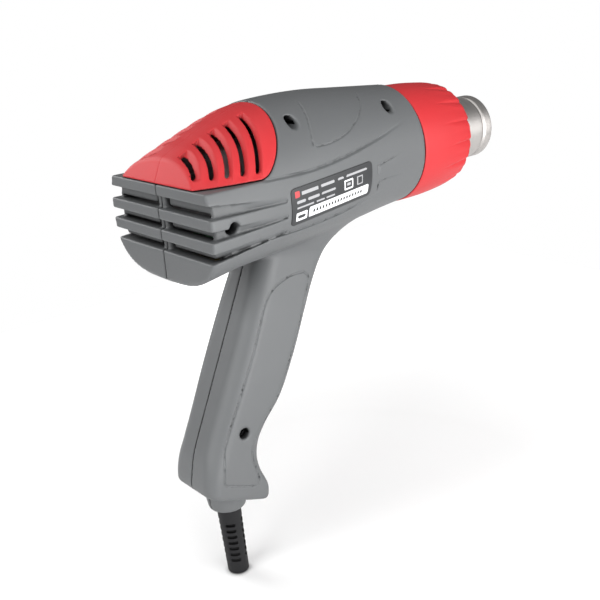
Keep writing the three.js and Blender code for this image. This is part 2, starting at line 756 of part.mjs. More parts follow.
// ---------------------------------------------------------------- fan and motor
function fanDuct() {
  const inner = DUCT_RADIUS - DUCT_WALL;
  const profile = [
    [DUCT_REAR, inner],
    [DUCT_REAR, DUCT_RADIUS],
    [FAN_FRONT + 2, DUCT_RADIUS],
    [DUCT_FRONT - 3, DUCT_THROAT + DUCT_WALL],
    [DUCT_FRONT, DUCT_THROAT + DUCT_WALL],
    [DUCT_FRONT, DUCT_THROAT],
    [DUCT_FRONT - 3, DUCT_THROAT],
    [FAN_FRONT + 2, inner],
    [DUCT_REAR, inner],
  ];
  const spokes = [0, 1, 2, 3].map((i) => {
    const arm = block(DUCT_REAR, DUCT_REAR + 2, -2.2, 2.2, 9, inner + 0.8);
    return arm.rotate([45 + 90 * i, 0, 0]);
  });
  return joined(turnedX(profile, 40), tubeX(DUCT_REAR, DUCT_REAR + 2, 5.2, 12), ...spokes);
}

function motorCan() {
  const inner = MOTOR_RADIUS - MOTOR_WALL;
  const profile = [
    [MOTOR_REAR, inner],
    [MOTOR_REAR, MOTOR_RADIUS],
    [MOTOR_FRONT, MOTOR_RADIUS],
    [MOTOR_FRONT, 6.4],
    [MOTOR_FRONT + 3, 6.4],
    [MOTOR_FRONT + 3, BUSH_RADIUS + GAP],
    [MOTOR_FRONT - MOTOR_WALL, BUSH_RADIUS + GAP],
    [MOTOR_FRONT - MOTOR_WALL, inner],
    [MOTOR_REAR, inner],
  ];
  return turnedX(profile, 36);
}

function motorEndCap() {
  const plate = tubeX(MOTOR_REAR - 3.4, MOTOR_REAR - GAP, BUSH_RADIUS + GAP, MOTOR_RADIUS - 0.4);
  const hub = tubeX(MOTOR_REAR - 6, MOTOR_REAR - GAP, BUSH_RADIUS + GAP, 6.6, 24);
  return joined(plate, hub);
}

function magnet(side) {
  const ring = tubeX(29, 57, MAGNET_INNER, MOTOR_RADIUS - MOTOR_WALL - GAP);
  const keep = side > 0 ? block(28, 58, -BIG, BIG, 4, BIG) : block(28, 58, -BIG, BIG, -BIG, -4);
  return ring.intersect(keep);
}

// Five-pole laminated rotor
function armature() {
  const bore = SHAFT_RADIUS + GAP;
  const core = tubeX(32, 54, bore, ARMATURE_RADIUS, 30);
  const slots = Array.from({ length: 5 }, (_, i) => {
    const slot = joined(block(31, 55, -0.9, 0.9, 6, 14), block(31, 55, -3, 3, 6.2, 10.2));
    return slot.rotate([72 * i, 0, 0]);
  });
  return cut(core, ...slots);
}

function commutator() {
  return tubeX(25.6, 31, SHAFT_RADIUS + GAP, 5, 15);
}

function motorShaft() {
  return rodX(MOTOR_REAR - 5.4, FAN_FRONT - 1, SHAFT_RADIUS, 16);
}

function bush(x0, x1) {
  return tubeX(x0, x1, SHAFT_RADIUS + GAP, BUSH_RADIUS, 20);
}

function brush(side) {
  const [y0, y1] = side > 0 ? [5.4, 11.6] : [-11.6, -5.4];
  return block(26.2, 30.2, y0, y1, -1.8, 1.8);
}

// Axial impeller with pitched blades
function impeller() {
  const hub = turnedX([
    [FAN_REAR, SHAFT_RADIUS + GAP],
    [FAN_REAR, FAN_HUB_RADIUS],
    [FAN_FRONT - 2, FAN_HUB_RADIUS],
    [FAN_FRONT, FAN_HUB_RADIUS - 3],
    [FAN_FRONT, SHAFT_RADIUS + GAP],
    [FAN_REAR, SHAFT_RADIUS + GAP],
  ], 27);
  const middle = (FAN_REAR + FAN_FRONT) / 2;
  const blades = Array.from({ length: FAN_BLADES }, (_, i) => {
    const corners = (radius, pitch, chord) => {
      const [c, s] = [Math.cos(pitch), Math.sin(pitch)];
      const half = 0.6;
      return [[-chord, -half], [chord, -half], [chord, half], [-chord, half]].map(([a, b]) => {
        return [middle + a * c - b * s, a * s + b * c, radius];
      });
    };
    const root = corners(FAN_HUB_RADIUS - 1.5, 0.75, 6.4);
    const blade = loft([root, corners(18, 0.95, 6.6), corners(FAN_RADIUS, 1.12, 6.2)]);
    return blade.rotate([(360 * i) / FAN_BLADES, 0, 0]);
  });
  const rim = rodX(FAN_REAR, FAN_FRONT, FAN_RADIUS, 54);
  return joined(hub, ...blades).intersect(rim);
}

// ---------------------------------------------------------------- electrics
function rectifierBoard() {
  return block(25, 56, -13, 13, -24.4, -22.8);
}

function suppressionCapacitor() {
  return block(29, 42, -9, 9, -33, -24.7);
}

function switchBody() {
  const face = 31;
  const back = 14;
  const [length, width] = [SWITCH_HALF_LENGTH - 1, SWITCH_HALF_WIDTH - 0.6];
  const shell = handleBlock(back, face, -width, width, SWITCH_S - length, SWITCH_S + length);
  const lip = handleBlock(face - 1, face + 2.6, -SWITCH_HALF_WIDTH, SWITCH_HALF_WIDTH,
    SWITCH_S - SWITCH_HALF_LENGTH, SWITCH_S + SWITCH_HALF_LENGTH);
  const well = handleBlock(20, 40, -ROCKER_HALF_WIDTH - GAP, ROCKER_HALF_WIDTH + GAP,
    SWITCH_S - ROCKER_HALF_LENGTH - ROCKER_SWING_ROOM, SWITCH_S + ROCKER_HALF_LENGTH + ROCKER_SWING_ROOM);
  const tags = [-TAG_PITCH, 0, TAG_PITCH].map((step) => {
    return handleBlock(TAG_U, back + 1, -2.4, 2.4, SWITCH_S + step - 0.4, SWITCH_S + step + 0.4);
  });
  return joined(cut(joined(shell, lip), well), ...tags);
}

// Rocker: a dished face on a round barrel about the pivot
function switchRocker() {
  const outline = [];
  const faceU = 34.6;
  const dish = 1.6;
  const steps = 8;
  for (let i = 0; i <= steps; i++) {
    const s = -ROCKER_HALF_LENGTH + (2 * ROCKER_HALF_LENGTH * i) / steps;
    outline.push([faceU - dish * (1 - (s / ROCKER_HALF_LENGTH) ** 2), SWITCH_S + s]);
  }
  outline.push([31.4, SWITCH_S + ROCKER_HALF_LENGTH - 0.3]);
  for (let i = 0; i <= steps; i++) {
    const angle = -0.35 * Math.PI + (0.7 * Math.PI * i) / steps;
    const u = SWITCH_PIVOT_U - ROCKER_RADIUS * Math.cos(angle);
    outline.push([u, SWITCH_S - ROCKER_RADIUS * Math.sin(angle)]);
  }
  outline.push([31.4, SWITCH_S - ROCKER_HALF_LENGTH + 0.3]);
  return plateXZ(outline.map(([u, s]) => handlePoint(u, s)), -ROCKER_HALF_WIDTH, ROCKER_HALF_WIDTH);
}

function cordClamp() {
  const bar = block(NECK_X - 8.5, NECK_X + 8.5, CLAMP_Y, CLAMP_Y + 2.2, CLAMP_Z - 3.5, CLAMP_Z + 3.5);
  return cut(bar, ...CLAMP_SCREWS.map((x) => rodY(x, CLAMP_Z, 0, 10, 1.5, 12)));
}

function clampScrew(x) {
  const seat = CLAMP_Y + 2.2 + GAP;
  const head = rodY(x, CLAMP_Z, seat, seat + 1.7, 2.4, 12);
  const shank = rodY(x, CLAMP_Z, -5, seat + 0.5, 1.2, 12);
  return cut(joined(head, shank), block(x - 1.8, x + 1.8, seat + 1, seat + 3, CLAMP_Z - 0.4, CLAMP_Z + 0.4));
}

// Ribbed rubber boot: a flange in the neck, a bore for the cord, and staggered blind slots.
// Below its flange it leans forward; the shear keeps its end face level.
function cordBoot() {
  const flangeEnd = BOOT_FLANGE_TOP - BOOT_FLANGE_THICKNESS;
  const body = turnedZ([
    [BOOT_END, BOOT_BORE],
    [BOOT_END, BOOT_END_RADIUS],
    [flangeEnd, BOOT_TOP_RADIUS],
    [flangeEnd, BOOT_FLANGE_RADIUS],
    [BOOT_FLANGE_TOP, BOOT_FLANGE_RADIUS],
    [BOOT_FLANGE_TOP, BOOT_BORE],
    [BOOT_END, BOOT_BORE],
  ], 20).translate([NECK_X, 0, 0]);
  const slots = [];
  for (let column = 0; column < 4; column++) {
    for (let i = 0; i < BOOT_SLOTS; i++) {
      const top = BOOT_SLOT_FIRST - BOOT_SLOT_PITCH * (i - (column % 2) / 2);
      const half = BOOT_SLOT_HALF_WIDTH;
      const slot = block(-9, -BOOT_SLOT_FLOOR, -half, half, top - BOOT_SLOT_HEIGHT, top);
      slots.push(slot.rotate([0, 0, BOOT_SLOT_TURN + 90 * column]).translate([NECK_X, 0, 0]));
    }
  }
  const lean = new THREE.Matrix4().makeShear(0, 0, 0, 0, -BOOT_LEAN, 0);
  lean.setPosition(BOOT_LEAN * flangeEnd, 0, 0);
  return solidOf(geometryOf(cut(body, ...slots)).applyMatrix4(lean));
}

// A wire through hand-placed points, those in the handle given as handle(u, y, s)
function lead(points) {
  const curve = new THREE.CatmullRomCurve3(points.map((p) => new THREE.Vector3(...p)));
  return wire(curve, LEAD_RADIUS, 16, 6);
}

function handle(u, y, s) {
  const [x, z] = handlePoint(u, s);
  return [x, y, z];
}

const LEADS = {
  lead_supply_live: [
    [NECK_X - 1.5, -1.8, -135.7], handle(6.4, -2.2, 90), handle(5.8, -2.5, 78), handle(6, -2.5, 60),
    handle(6, -2.2, 45), handle(7.4, -1.2, 37), handle(TAG_U - 0.6, -1, SWITCH_S + TAG_PITCH),
  ],
  lead_supply_neutral: [
    [NECK_X + 1.5, 1.8, -135.7], handle(20.6, 3, 84), handle(20.4, 5, 72), handle(19, 9.2, 50),
    handle(18, 9.8, 30), handle(18, 9.5, 12), handle(17, 9.4, -4), [56, 9.6, -33], [52, 10, -26],
  ],
  lead_heater: [
    handle(TAG_U - 0.6, -1.2, SWITCH_S - TAG_PITCH), handle(7.4, -1.6, 22), handle(6.8, -2.5, 16),
    handle(9, -4, 4), handle(18, -6, -5), [72, -5, -38], [82, -3, -31], [90, -2, -27.2], [97.6, -1, -22.7],
  ],
  lead_motor: [
    handle(TAG_U - 0.6, 1.2, SWITCH_S), handle(7.2, 1.6, 28), handle(6.4, 2, 22), handle(7, 3, 10),
    handle(10, 4.5, -4), [50, 4.5, -33], [47, 4, -26],
  ],
};

// ---------------------------------------------------------------- assembly
const gun = new THREE.Group();
gun.position.set(-LENGTH / 2, 0, -BOOT_END);

function place(name, solid, material) {
  const mesh = new THREE.Mesh(geometryOf(solid), material);
  mesh.name = name;
  gun.add(mesh);
}

place('housing_right', joined(housingHalf(-1), clampPosts()), plastic(GREY));
place('housing_left', housingHalf(1), plastic(GREY));
place('intake_cover', intakeCover(), plastic(RED, 0.5));
place('nose_collar', noseCollar(), plastic(RED, 0.5));
place('rating_label', ratingLabel(), plastic(0x3a3c3f, 0.4));
SCREWS.forEach((screw, i) => place(`housing_screw_${i + 1}`, housingScrew(screw), metal(0x4a4a4c)));
place('nozzle_tube', nozzleTube(), metal(STEEL, 0.3));
place('heater_flange', heaterFlange(), plastic(CERAMIC, 0.8));
place('mica_sleeve', micaSleeve(), plastic(MICA, 0.5));
place('heater_core', heaterCore(), plastic(MICA, 0.5));
place('heater_winding', heaterWinding(), metal(0x77706a, 0.5));
place('heater_end_disc', heaterEndDisc(), plastic(MICA, 0.6));
place('heater_rear_disc', heaterRearDisc(), plastic(MICA, 0.6));
place('thermal_cutout', thermalCutout(), metal(STEEL, 0.4));
place('fan_duct', fanDuct(), plastic(BLACK));
place('motor_can', motorCan(), metal(0x8f9296, 0.4));
place('motor_end_cap', motorEndCap(), plastic(BLACK));
place('magnet_upper', magnet(1), plastic(0x3b3b3b, 0.7));
place('magnet_lower', magnet(-1), plastic(0x3b3b3b, 0.7));
place('armature', armature(), metal(0x55565a, 0.6));
place('commutator', commutator(), metal(COPPER, 0.4));
place('motor_shaft', motorShaft(), metal(0xc9c9cb, 0.2));
place('front_bearing', bush(MOTOR_FRONT - 1.2, MOTOR_FRONT + 2.8), metal(0xa98a55, 0.5));
place('rear_bearing', bush(MOTOR_REAR - 5.6, MOTOR_REAR - 1), metal(0xa98a55, 0.5));
place('brush_left', brush(1), plastic(0x1d1d1f, 0.8));
place('brush_right', brush(-1), plastic(0x1d1d1f, 0.8));
place('impeller', impeller(), plastic(BLACK, 0.5));
place('rectifier_board', rectifierBoard(), plastic(0x2f6b3c));
place('suppression_capacitor', suppressionCapacitor(), plastic(0xd9b13a));
place('switch_body', switchBody(), plastic(BLACK, 0.5));
place('switch_rocker', switchRocker(), plastic(0x1b1b1d, 0.4));
place('cord_clamp', cordClamp(), plastic(BLACK));
place('clamp_screw_rear', clampScrew(CLAMP_SCREWS[0]), metal(STEEL));
place('clamp_screw_front', clampScrew(CLAMP_SCREWS[1]), metal(STEEL));
place('cord_boot', cordBoot(), plastic(BLACK, 0.7));
const LEAD_COLOURS = [0x5b3a29, 0x2f5fa8, 0x8a2f2f, 0x444444];
Object.entries(LEADS).forEach(([name, points], i) => {
  place(name, lead(points), plastic(LEAD_COLOURS[i], 0.5));
});

export default gun;
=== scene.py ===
"""Looks of the heat gun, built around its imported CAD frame.

Shapes are worked out in millimetres on the gun's own axes: +X along the barrel towards the
nozzle from the rear face, +Y to the gun's left, +Z up from the barrel's axis. place() takes
them to the frame's metres. The moulded pieces are level surfaces of smooth distance fields.
"""
import json
import math

import bpy
import numpy as np
from mathutils import Matrix, Vector


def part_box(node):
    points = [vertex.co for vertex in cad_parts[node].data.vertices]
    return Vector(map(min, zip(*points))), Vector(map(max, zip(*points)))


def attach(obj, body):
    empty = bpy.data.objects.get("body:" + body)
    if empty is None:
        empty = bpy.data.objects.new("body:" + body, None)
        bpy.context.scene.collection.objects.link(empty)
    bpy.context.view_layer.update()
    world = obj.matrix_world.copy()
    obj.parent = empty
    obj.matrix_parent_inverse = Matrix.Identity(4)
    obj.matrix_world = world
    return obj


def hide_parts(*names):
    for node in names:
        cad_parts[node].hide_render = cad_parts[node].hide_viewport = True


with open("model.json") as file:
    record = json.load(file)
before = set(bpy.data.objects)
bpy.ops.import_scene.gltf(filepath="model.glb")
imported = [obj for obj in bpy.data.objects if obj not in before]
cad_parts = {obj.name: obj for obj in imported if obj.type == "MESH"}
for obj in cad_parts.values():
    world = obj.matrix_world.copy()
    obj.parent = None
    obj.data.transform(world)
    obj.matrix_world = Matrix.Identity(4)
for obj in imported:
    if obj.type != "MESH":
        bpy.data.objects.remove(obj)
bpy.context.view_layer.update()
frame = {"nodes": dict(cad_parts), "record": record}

MM = 0.001
LENGTH = 205.8                   # rear face to nozzle rim
NOZZLE_LOW, NOZZLE_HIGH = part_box("nozzle_tube")
REAR_FACE = NOZZLE_HIGH.x - LENGTH * MM
AXIS_HEIGHT = (NOZZLE_LOW.z + NOZZLE_HIGH.z) / 2
BOOT_END = (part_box("cord_boot")[0].z - AXIS_HEIGHT) / MM
ORIGIN = np.array([REAR_FACE, 0.0, AXIS_HEIGHT])
COARSE = 1.0

# ------------------------------------------------------------------ driving dimensions
WALL = 2.5
SEAM = 0.36                      # each half stops this far from the seam plane
BARREL_END = 138.3
SPIGOT_RADIUS = 26               # tube of the housing that carries the collar
SPIGOT_LENGTH = 14
FAR = 99.0                       # stands for "not near anything" in the fields

# Barrel: x, half width, top, bottom, level of greatest width, power above, power below
BODY = [
    [0, 41.3, 28.0, -38.3, -10, 2.2, 3.0],
    [20, 40.7, 30.6, -37.4, -9.5, 2.2, 2.4],
    [42, 39.4, 32.9, -36.6, -8, 2.15, 2.25],
    [56, 38.3, 34.3, -36.0, -6.5, 2.1, 2.2],
    [70, 37.0, 35.0, -35.3, -5, 2.08, 2.15],
    [87, 35.2, 34.9, -34.1, -3, 2.05, 2.1],
    [104, 33.3, 33.7, -32.6, -1.5, 2.0, 2.05],
    [122, 31.4, 32.3, -30.9, -0.5, 2.0, 2.0],
    [140, 29.8, 30.9, -29.4, 0, 2.0, 2.0],
]
DOME = [
    [0, 34.5, 12.9, -38.3, -10, 2.7, 3.0],
    [10, 36.9, 18.4, -38.0, -9.8, 2.42, 2.7],
    [20, 38.5, 22.8, -37.4, -9.5, 2.32, 2.4],
    [30, 39.3, 27.1, -37.0, -8.8, 2.22, 2.3],
    [42, 39.35, 31.5, -36.6, -8, 2.15, 2.25],
    [56, 38.25, 34.25, -36.0, -6.5, 2.1, 2.2],
]
COVER_BASE = 5.2
COVER_FRONT = [[32.5, 5.2], [44.2, 12.2], [53.4, 34.5]]
COVER_WALL = 2.4
COVER_GAP = 0.35
COVER_REAR_LEAN = 0.45
# Vents of the cover in side view: foot and head, x and z
VENTS = [
    [[4.6, 9.9], [10.6, 18.0], 9.0],
    [[11.0, 9.4], [18.6, 21.7], 7.5],
    [[17.2, 9.3], [26.6, 25.1], 8.0],
    [[23.9, 9.2], [33.7, 27.7], 9.2],
    [[30.8, 9.1], [41.3, 30.1], 9.7],
]
VENT_HALF = 1.15
RAMP_DEPTH = 0.9                 # how far the skin sinks towards the rear edge of each vent

# Cooling grooves: floor and roof at the rear, floor and roof at their front end
GROOVES = [[-5.4, 0.5, -6.0, -4.2], [-14.8, -10.1, -13.1, -11.3], [-24.3, -19.6, -20.0, -18.2]]
GROOVE_DEPTH = 3.5
GROOVE_RUN = 41.5
REAR_POST = 2.6                  # half width of the post on the seam, set back a little
POST_DEPTH = 2.6
REAR_WALL = 6.4
SLIT_HEIGHT = 1.4

# Creases along the side, x and z: the surface steps out below each
UPPER_CREASE = [[28, 5.2], [43, 4.8], [54, 4.6], [64, 5.0], [75, 6.1], [86, 7.5], [96, 9.2],
                [107, 11.2], [118, 13.7], [130, 16.8]]
LOWER_CREASE = [[30, -20.6], [40, -20.4], [51, -20.4], [62, -20.2], [74, -19.6], [85, -18.4],
                [97, -16.6], [112, -13.8]]

# Handle frame: u forwards, s down the handle from the top of its rear seam
HANDLE_TOP = (42.5, -40.6)
HANDLE_TILT = math.radians(25.1)
# s, rear u, front u, half thickness
HANDLE = [
    [-40, 0.0, 44.0, 14.6],
    [-26, 0.0, 40.9, 14.6],
    [-12, 0.0, 36.8, 14.6],
    [0, 0.0, 35.3, 15.0],
    [12, 0.0, 34.5, 16.0],
    [38, 0.0, 34.0, 17.0],
    [60, 0.0, 31.9, 17.1],
    [73, 0.0, 27.8, 16.8],
    [81, 0.0, 26.7, 16.7],
    [89, 0.0, 28.3, 16.8],
    [96, 0.5, 32.4, 17.1],
    [103, 1.9, 38.9, 17.3],
    [108, 3.2, 40.9, 17.3],
    [114, 5.5, 40.4, 17.3],
]
HANDLE_END = 112
SHAFT_FLOOR = 106                # inner floor of the handle

# Cord neck under the handle: levels and radii, its root, and the boot's seat inside it
NECK_X = 18.4
NECK_LEVELS = [-161.7, -160.1, -156, -146]
NECK_RADII = [8.7, 9.5, 10.2, 11.0]
NECK_ROOT = -138
SEAT_RADIUS, SEAT_MIDDLE, SEAT_HALF = 8.5, -145.7, 7.8
BOOT_HOLE_RADIUS = 7.1

# Switch, in the handle frame
SWITCH_S = 30
SWITCH_HOLE = (11.3, 7.3)        # half length and half width
SWITCH_DEEP = 20                 # the hole reaches in to this u

SCREWS = [([58.2, 24.9], -15), ([121, 23], -12), ([11.6, -11], -31), ([22.1, -117.6], -11)]
RECESS_RADIUS = 2.95
BOSS_RADIUS = 3.9

# Camera of the reference view, millimetres and unit vectors on the gun's axes
CAMERA_AT = (-192.61, -337.87, 80.18)
CAMERA_RIGHT = (0.76594, -0.63872, -0.07328)
CAMERA_UP = (0.26247, 0.20661, 0.94256)
CAMERA_BACK = (-0.58689, -0.74118, 0.32590)
LENS = 54


# ------------------------------------------------------------------ fields
def smooth_max(a, b, k):
    h = np.maximum(k - np.abs(a - b), 0)
    return np.maximum(a, b) + h * h / (4 * k)


def smooth_min(a, b, k):
    return -smooth_max(-a, -b, k)


def smoothstep(t):
    t = np.clip(t, 0, 1)
    return t * t * (3 - 2 * t)


class Table:
    """Smooth columns between the rows of a section table"""

    def __init__(self, rows):
        rows = np.array(rows, float)
        x, v = rows[:, 0], rows[:, 1:]
        slope = np.gradient(v, x, axis=0)
        self.at = np.linspace(x[0], x[-1], 600)
        i = np.clip(np.searchsorted(x, self.at, side="right") - 1, 0, len(x) - 2)
        h = (x[i + 1] - x[i])[:, None]
        t = (self.at[:, None] - x[i][:, None]) / h
        self.columns = (
            (2 * t**3 - 3 * t**2 + 1) * v[i]
            + (t**3 - 2 * t**2 + t) * h * slope[i]
            + (3 * t**2 - 2 * t**3) * v[i + 1]
            + (t**3 - t**2) * h * slope[i + 1]
        ).T

    def __call__(self, at):
        return [np.interp(at, self.at, column) for column in self.columns]


BODY_TABLE = Table(BODY)
DOME_TABLE = Table(DOME)
HANDLE_TABLE = Table(HANDLE)
UPPER_LINE = Table(UPPER_CREASE)
LOWER_LINE = Table(LOWER_CREASE)


def superellipse(y, z, w, h, n):
    """Distance to a superellipse, true near its edge"""
    a = np.maximum(np.abs(y) / w, 1e-4)
    b = np.maximum(np.abs(z) / h, 1e-4)
    an, bn = a**n, b**n
    g = (an + bn) ** (1 / n)
    slope = g / (an + bn) * np.hypot(an / a / w, bn / b / h)
    return (g - 1) / slope


def tube_form(table, p):
    w, top, low, mid, above, below = table(p[:, 0])
    up = p[:, 2] >= mid
    height = np.where(up, top - mid, mid - low)
    return superellipse(p[:, 1], p[:, 2] - mid, w, height, np.where(up, above, below))


def shingle(p, line, depth, reach):
    """Inset that grows down to a crease line and ends there in a step"""
    above = p[:, 2] - line(p[:, 0])[0]
    return depth * np.exp(-np.maximum(above, 0) / reach) * smoothstep(above / 1.2 + 0.5)


def crease_depths(x):
    upper = smoothstep((x - 29) / 4) * smoothstep((132 - x) / 45)
    lower = smoothstep((x - 33) / 6) * smoothstep((112 - x) / 40)
    return upper, lower


def barrel(p):
    side = smoothstep((np.abs(p[:, 1]) - 14) / 8)
    upper, lower = crease_depths(p[:, 0])
    inset = shingle(p, UPPER_LINE, 0.6 * upper, 7.0) + shingle(p, LOWER_LINE, 0.6 * lower, 6.0)
    return tube_form(BODY_TABLE, p) + side * inset


def handle_axes(p):
    sin, cos = math.sin(HANDLE_TILT), math.cos(HANDLE_TILT)
    dx, dz = p[:, 0] - HANDLE_TOP[0], p[:, 2] - HANDLE_TOP[1]
    return dx * cos - dz * sin, -dx * sin - dz * cos


def handle(p, grow=0.0):
    u, s = handle_axes(p)
    rear, front, thick = HANDLE_TABLE(s)
    across = u - (rear + front) / 2
    half = (front - rear) / 2 - grow
    thick = thick - grow - 0.4 * (across / half) ** 2
    radius = np.where(across < 0, 9.3, 5.7) - grow * 0.6
    radius = radius - 2.5 * smoothstep((s - 90) / 15)
    a = np.abs(across) - half + radius
    b = np.abs(p[:, 1]) - thick + radius
    edge = np.hypot(np.maximum(a, 0), np.maximum(b, 0)) + np.minimum(np.maximum(a, b), 0) - radius
    return edge, u, s


def neck(p):
    z = p[:, 2]
    around = np.hypot(p[:, 0] - NECK_X, p[:, 1]) - np.interp(z, NECK_LEVELS, NECK_RADII)
    return smooth_max(smooth_max(around, NECK_LEVELS[0] - z, 1.4), z - NECK_ROOT, 1)


def housing_outside(p, body, grip, u, s):
    body = smooth_max(body, -p[:, 0], 1.3)
    body = smooth_max(body, p[:, 0] - BARREL_END, 0.8)
    grip = smooth_max(grip, s + 0.06 * u - HANDLE_END - 1.4, 3.0)
    grip = smooth_max(grip, -32 - s, 2)
    blend = 3 + 7 * smoothstep(u / 34)
    return smooth_min(smooth_min(body, grip, blend), neck(p), 1.2)


def bezier_front(z):
    """x of the cover's front edge at a height"""
    t = np.linspace(0, 1.25, 60)[:, None]
    start, pull, end = (np.array(point) for point in COVER_FRONT)
    curve = (1 - t) ** 2 * start + 2 * t * (1 - t) * pull + t**2 * end
    return np.interp(z, curve[:, 1], curve[:, 0])


def cover_zone(p):
    """Negative above the cover's base and behind its front edge"""
    x, z = p[:, 0], p[:, 2]
    return smooth_max(COVER_BASE - z, (x - bezier_front(z)) * 0.82, 2.5)


def groove_cut(p, body):
    """Negative inside the cooling grooves and their slits"""
    x, y, z = p[:, 0], np.abs(p[:, 1]), p[:, 2]
    t = np.clip(x / GROOVE_RUN, 0, 1)
    floor_depth = GROOVE_DEPTH * (1 - t) + 1.1 * t
    roof_depth = GROOVE_DEPTH * (1 - smoothstep(x / 30))
    cut = np.full(len(p), FAR)
    for low, high, low_end, high_end in GROOVES:
        floor = low + (low_end - low) * t
        roof = high + (high_end - high) * t
        rise = np.clip((z - floor) / (roof - floor), 0, 1)
        depth = floor_depth + (roof_depth - floor_depth) * rise
        band = np.maximum(floor - z, z - roof)
        reach = np.minimum(x - GROOVE_DEPTH, -(body + depth))
        tip = np.hypot(np.maximum(x - GROOVE_RUN + 1, 0), z - (low_end + high_end) / 2) - 1
        channel = np.maximum(np.maximum(band, reach), np.minimum(x - GROOVE_RUN + 1, tip))
        channel = np.maximum(channel, np.minimum(REAR_POST - y, x - POST_DEPTH))
        slit = np.maximum(np.maximum(low - z, z - low - SLIT_HEIGHT), np.abs(x - 4) - 4)
        slit = np.maximum(slit, np.abs(y - 20) - 16)
        window = np.maximum(np.abs(z - (low + high) / 2) - (high - low) / 2 + 0.3, np.abs(x - 4) - 4)
        window = np.maximum(window, np.abs(y - 3.9) - 1.1)
        cut = np.minimum(np.minimum(cut, channel), np.minimum(slit, window))
    return cut


def screw_recess(p, half):
    cut = np.full(len(p), FAR)
    for (x, z), head in SCREWS:
        around = np.hypot(p[:, 0] - x, p[:, 2] - z)
        if half < 0:
            cut = np.minimum(cut, np.maximum(around - RECESS_RADIUS, p[:, 1] - head))
            cut = np.minimum(cut, np.maximum(around - 1.8, p[:, 1] - 1))
        else:
            cut = np.minimum(cut, np.maximum(around - 1.65, p[:, 1] - 12))
    return cut


def bosses(p):
    form = np.full(len(p), FAR)
    for (x, z), _ in SCREWS:
        form = np.minimum(form, np.hypot(p[:, 0] - x, p[:, 2] - z) - BOSS_RADIUS)
    return form


def housing_inside(p, body, grip, s):
    """Negative in the hollow of the housing"""
    x, y, z = p[:, 0], np.abs(p[:, 1]), p[:, 2]
    wall = WALL + 3 * np.maximum(0, 1 - x / GROOVE_RUN)
    room = np.maximum(np.maximum(body + wall, REAR_WALL - x), x - BARREL_END + WALL)
    deck = np.maximum(np.maximum(COVER_BASE - WALL - z, z - COVER_BASE - 1), np.maximum(x - 33, 26 - y))
    room = np.maximum(room, -deck)
    shaft = np.maximum(np.maximum(grip + WALL, s - SHAFT_FLOOR), -26 - s)
    return np.maximum(np.minimum(room, shaft), -bosses(p))


def panel_outline():
    """Engraved edge of the grip panel in the handle frame"""
    return np.array([
        [28.9, -2.0], [25.3, -3.3], [20.4, -1.3], [16.4, 0.9], [13.2, 3.6], [10.0, 6.9], [7.8, 10.5],
        [6.7, 14.2], [6.3, 18.1], [6.7, 39], [5.9, 64.6], [5.4, 87], [5.7, 89.5], [8.9, 100.5],
        [9.9, 103.6], [11.4, 104.6], [29.6, 103.9], [31.0, 102.9], [30.6, 100.2], [27.8, 96],
        [23.9, 91.3], [22.0, 87.5], [21.6, 83.5], [22.7, 77], [25.6, 69], [28.2, 60], [29.6, 48],
        [30.2, 20], [29.7, 0.4],
    ])


def distance_to_path(a, b, path, closed=False):
    pairs = list(zip(path[:-1], path[1:]))
    if closed:
        pairs.append((path[-1], path[0]))
    best = np.full(len(a), FAR)
    for (a0, b0), (a1, b1) in pairs:
        da, db = a1 - a0, b1 - b0
        t = np.clip(((a - a0) * da + (b - b0) * db) / (da * da + db * db), 0, 1)
        best = np.minimum(best, np.hypot(a - a0 - t * da, b - b0 - t * db))
    return best


def smooth_path(points, count, closed=False):
    """Catmull-Rom points through given ones"""
    pts = np.array(points, float)
    pts = np.vstack([pts[-1], pts, pts[:2]]) if closed else np.vstack([pts[0], pts, pts[-1]])
    out = []
    for i in range(1, len(pts) - 2):
        for t in np.arange(count) / count:
            p0, p1, p2, p3 = pts[i - 1:i + 3]
            out.append(0.5 * (2 * p1 + (p2 - p0) * t + (2 * p0 - 5 * p1 + 4 * p2 - p3) * t**2
                              + (3 * p1 - p0 - 3 * p2 + p3) * t**3))
    if not closed:
        out.append(pts[-2])
    return np.array(out)


PANEL = panel_outline()
# Engraved lines on the barrel's side, x and z
SIDE_LINES = [
    smooth_path([[70.4, 31.6], [69.2, 29.0], [67.6, 25.6], [65.4, 21.0], [63.8, 16.8], [63.4, 14.8]], 4),
    smooth_path([[65.0, 13.9], [69, 13.8], [73.5, 14.0], [80.7, 15.1], [87.1, 16.8], [92.6, 19.2],
                 [98.4, 22.0], [102.5, 24.8], [106.5, 28.2], [109.4, 30.9]], 4),
]
L_MARKS = [
    [[[101.9, -4.7], [102.0, -1.4]], [[102.0, -1.3], [112.7, 0.6], [125.0, 2.7]]],
    [[[102.4, -12.7], [102.6, -9.2]], [[102.6, -9.0], [107.8, -8.7], [119.0, -8.6]]],
]


def carved(distance, half_width, depth):
    return depth * np.maximum(0, 1 - (distance / half_width) ** 2) ** 2


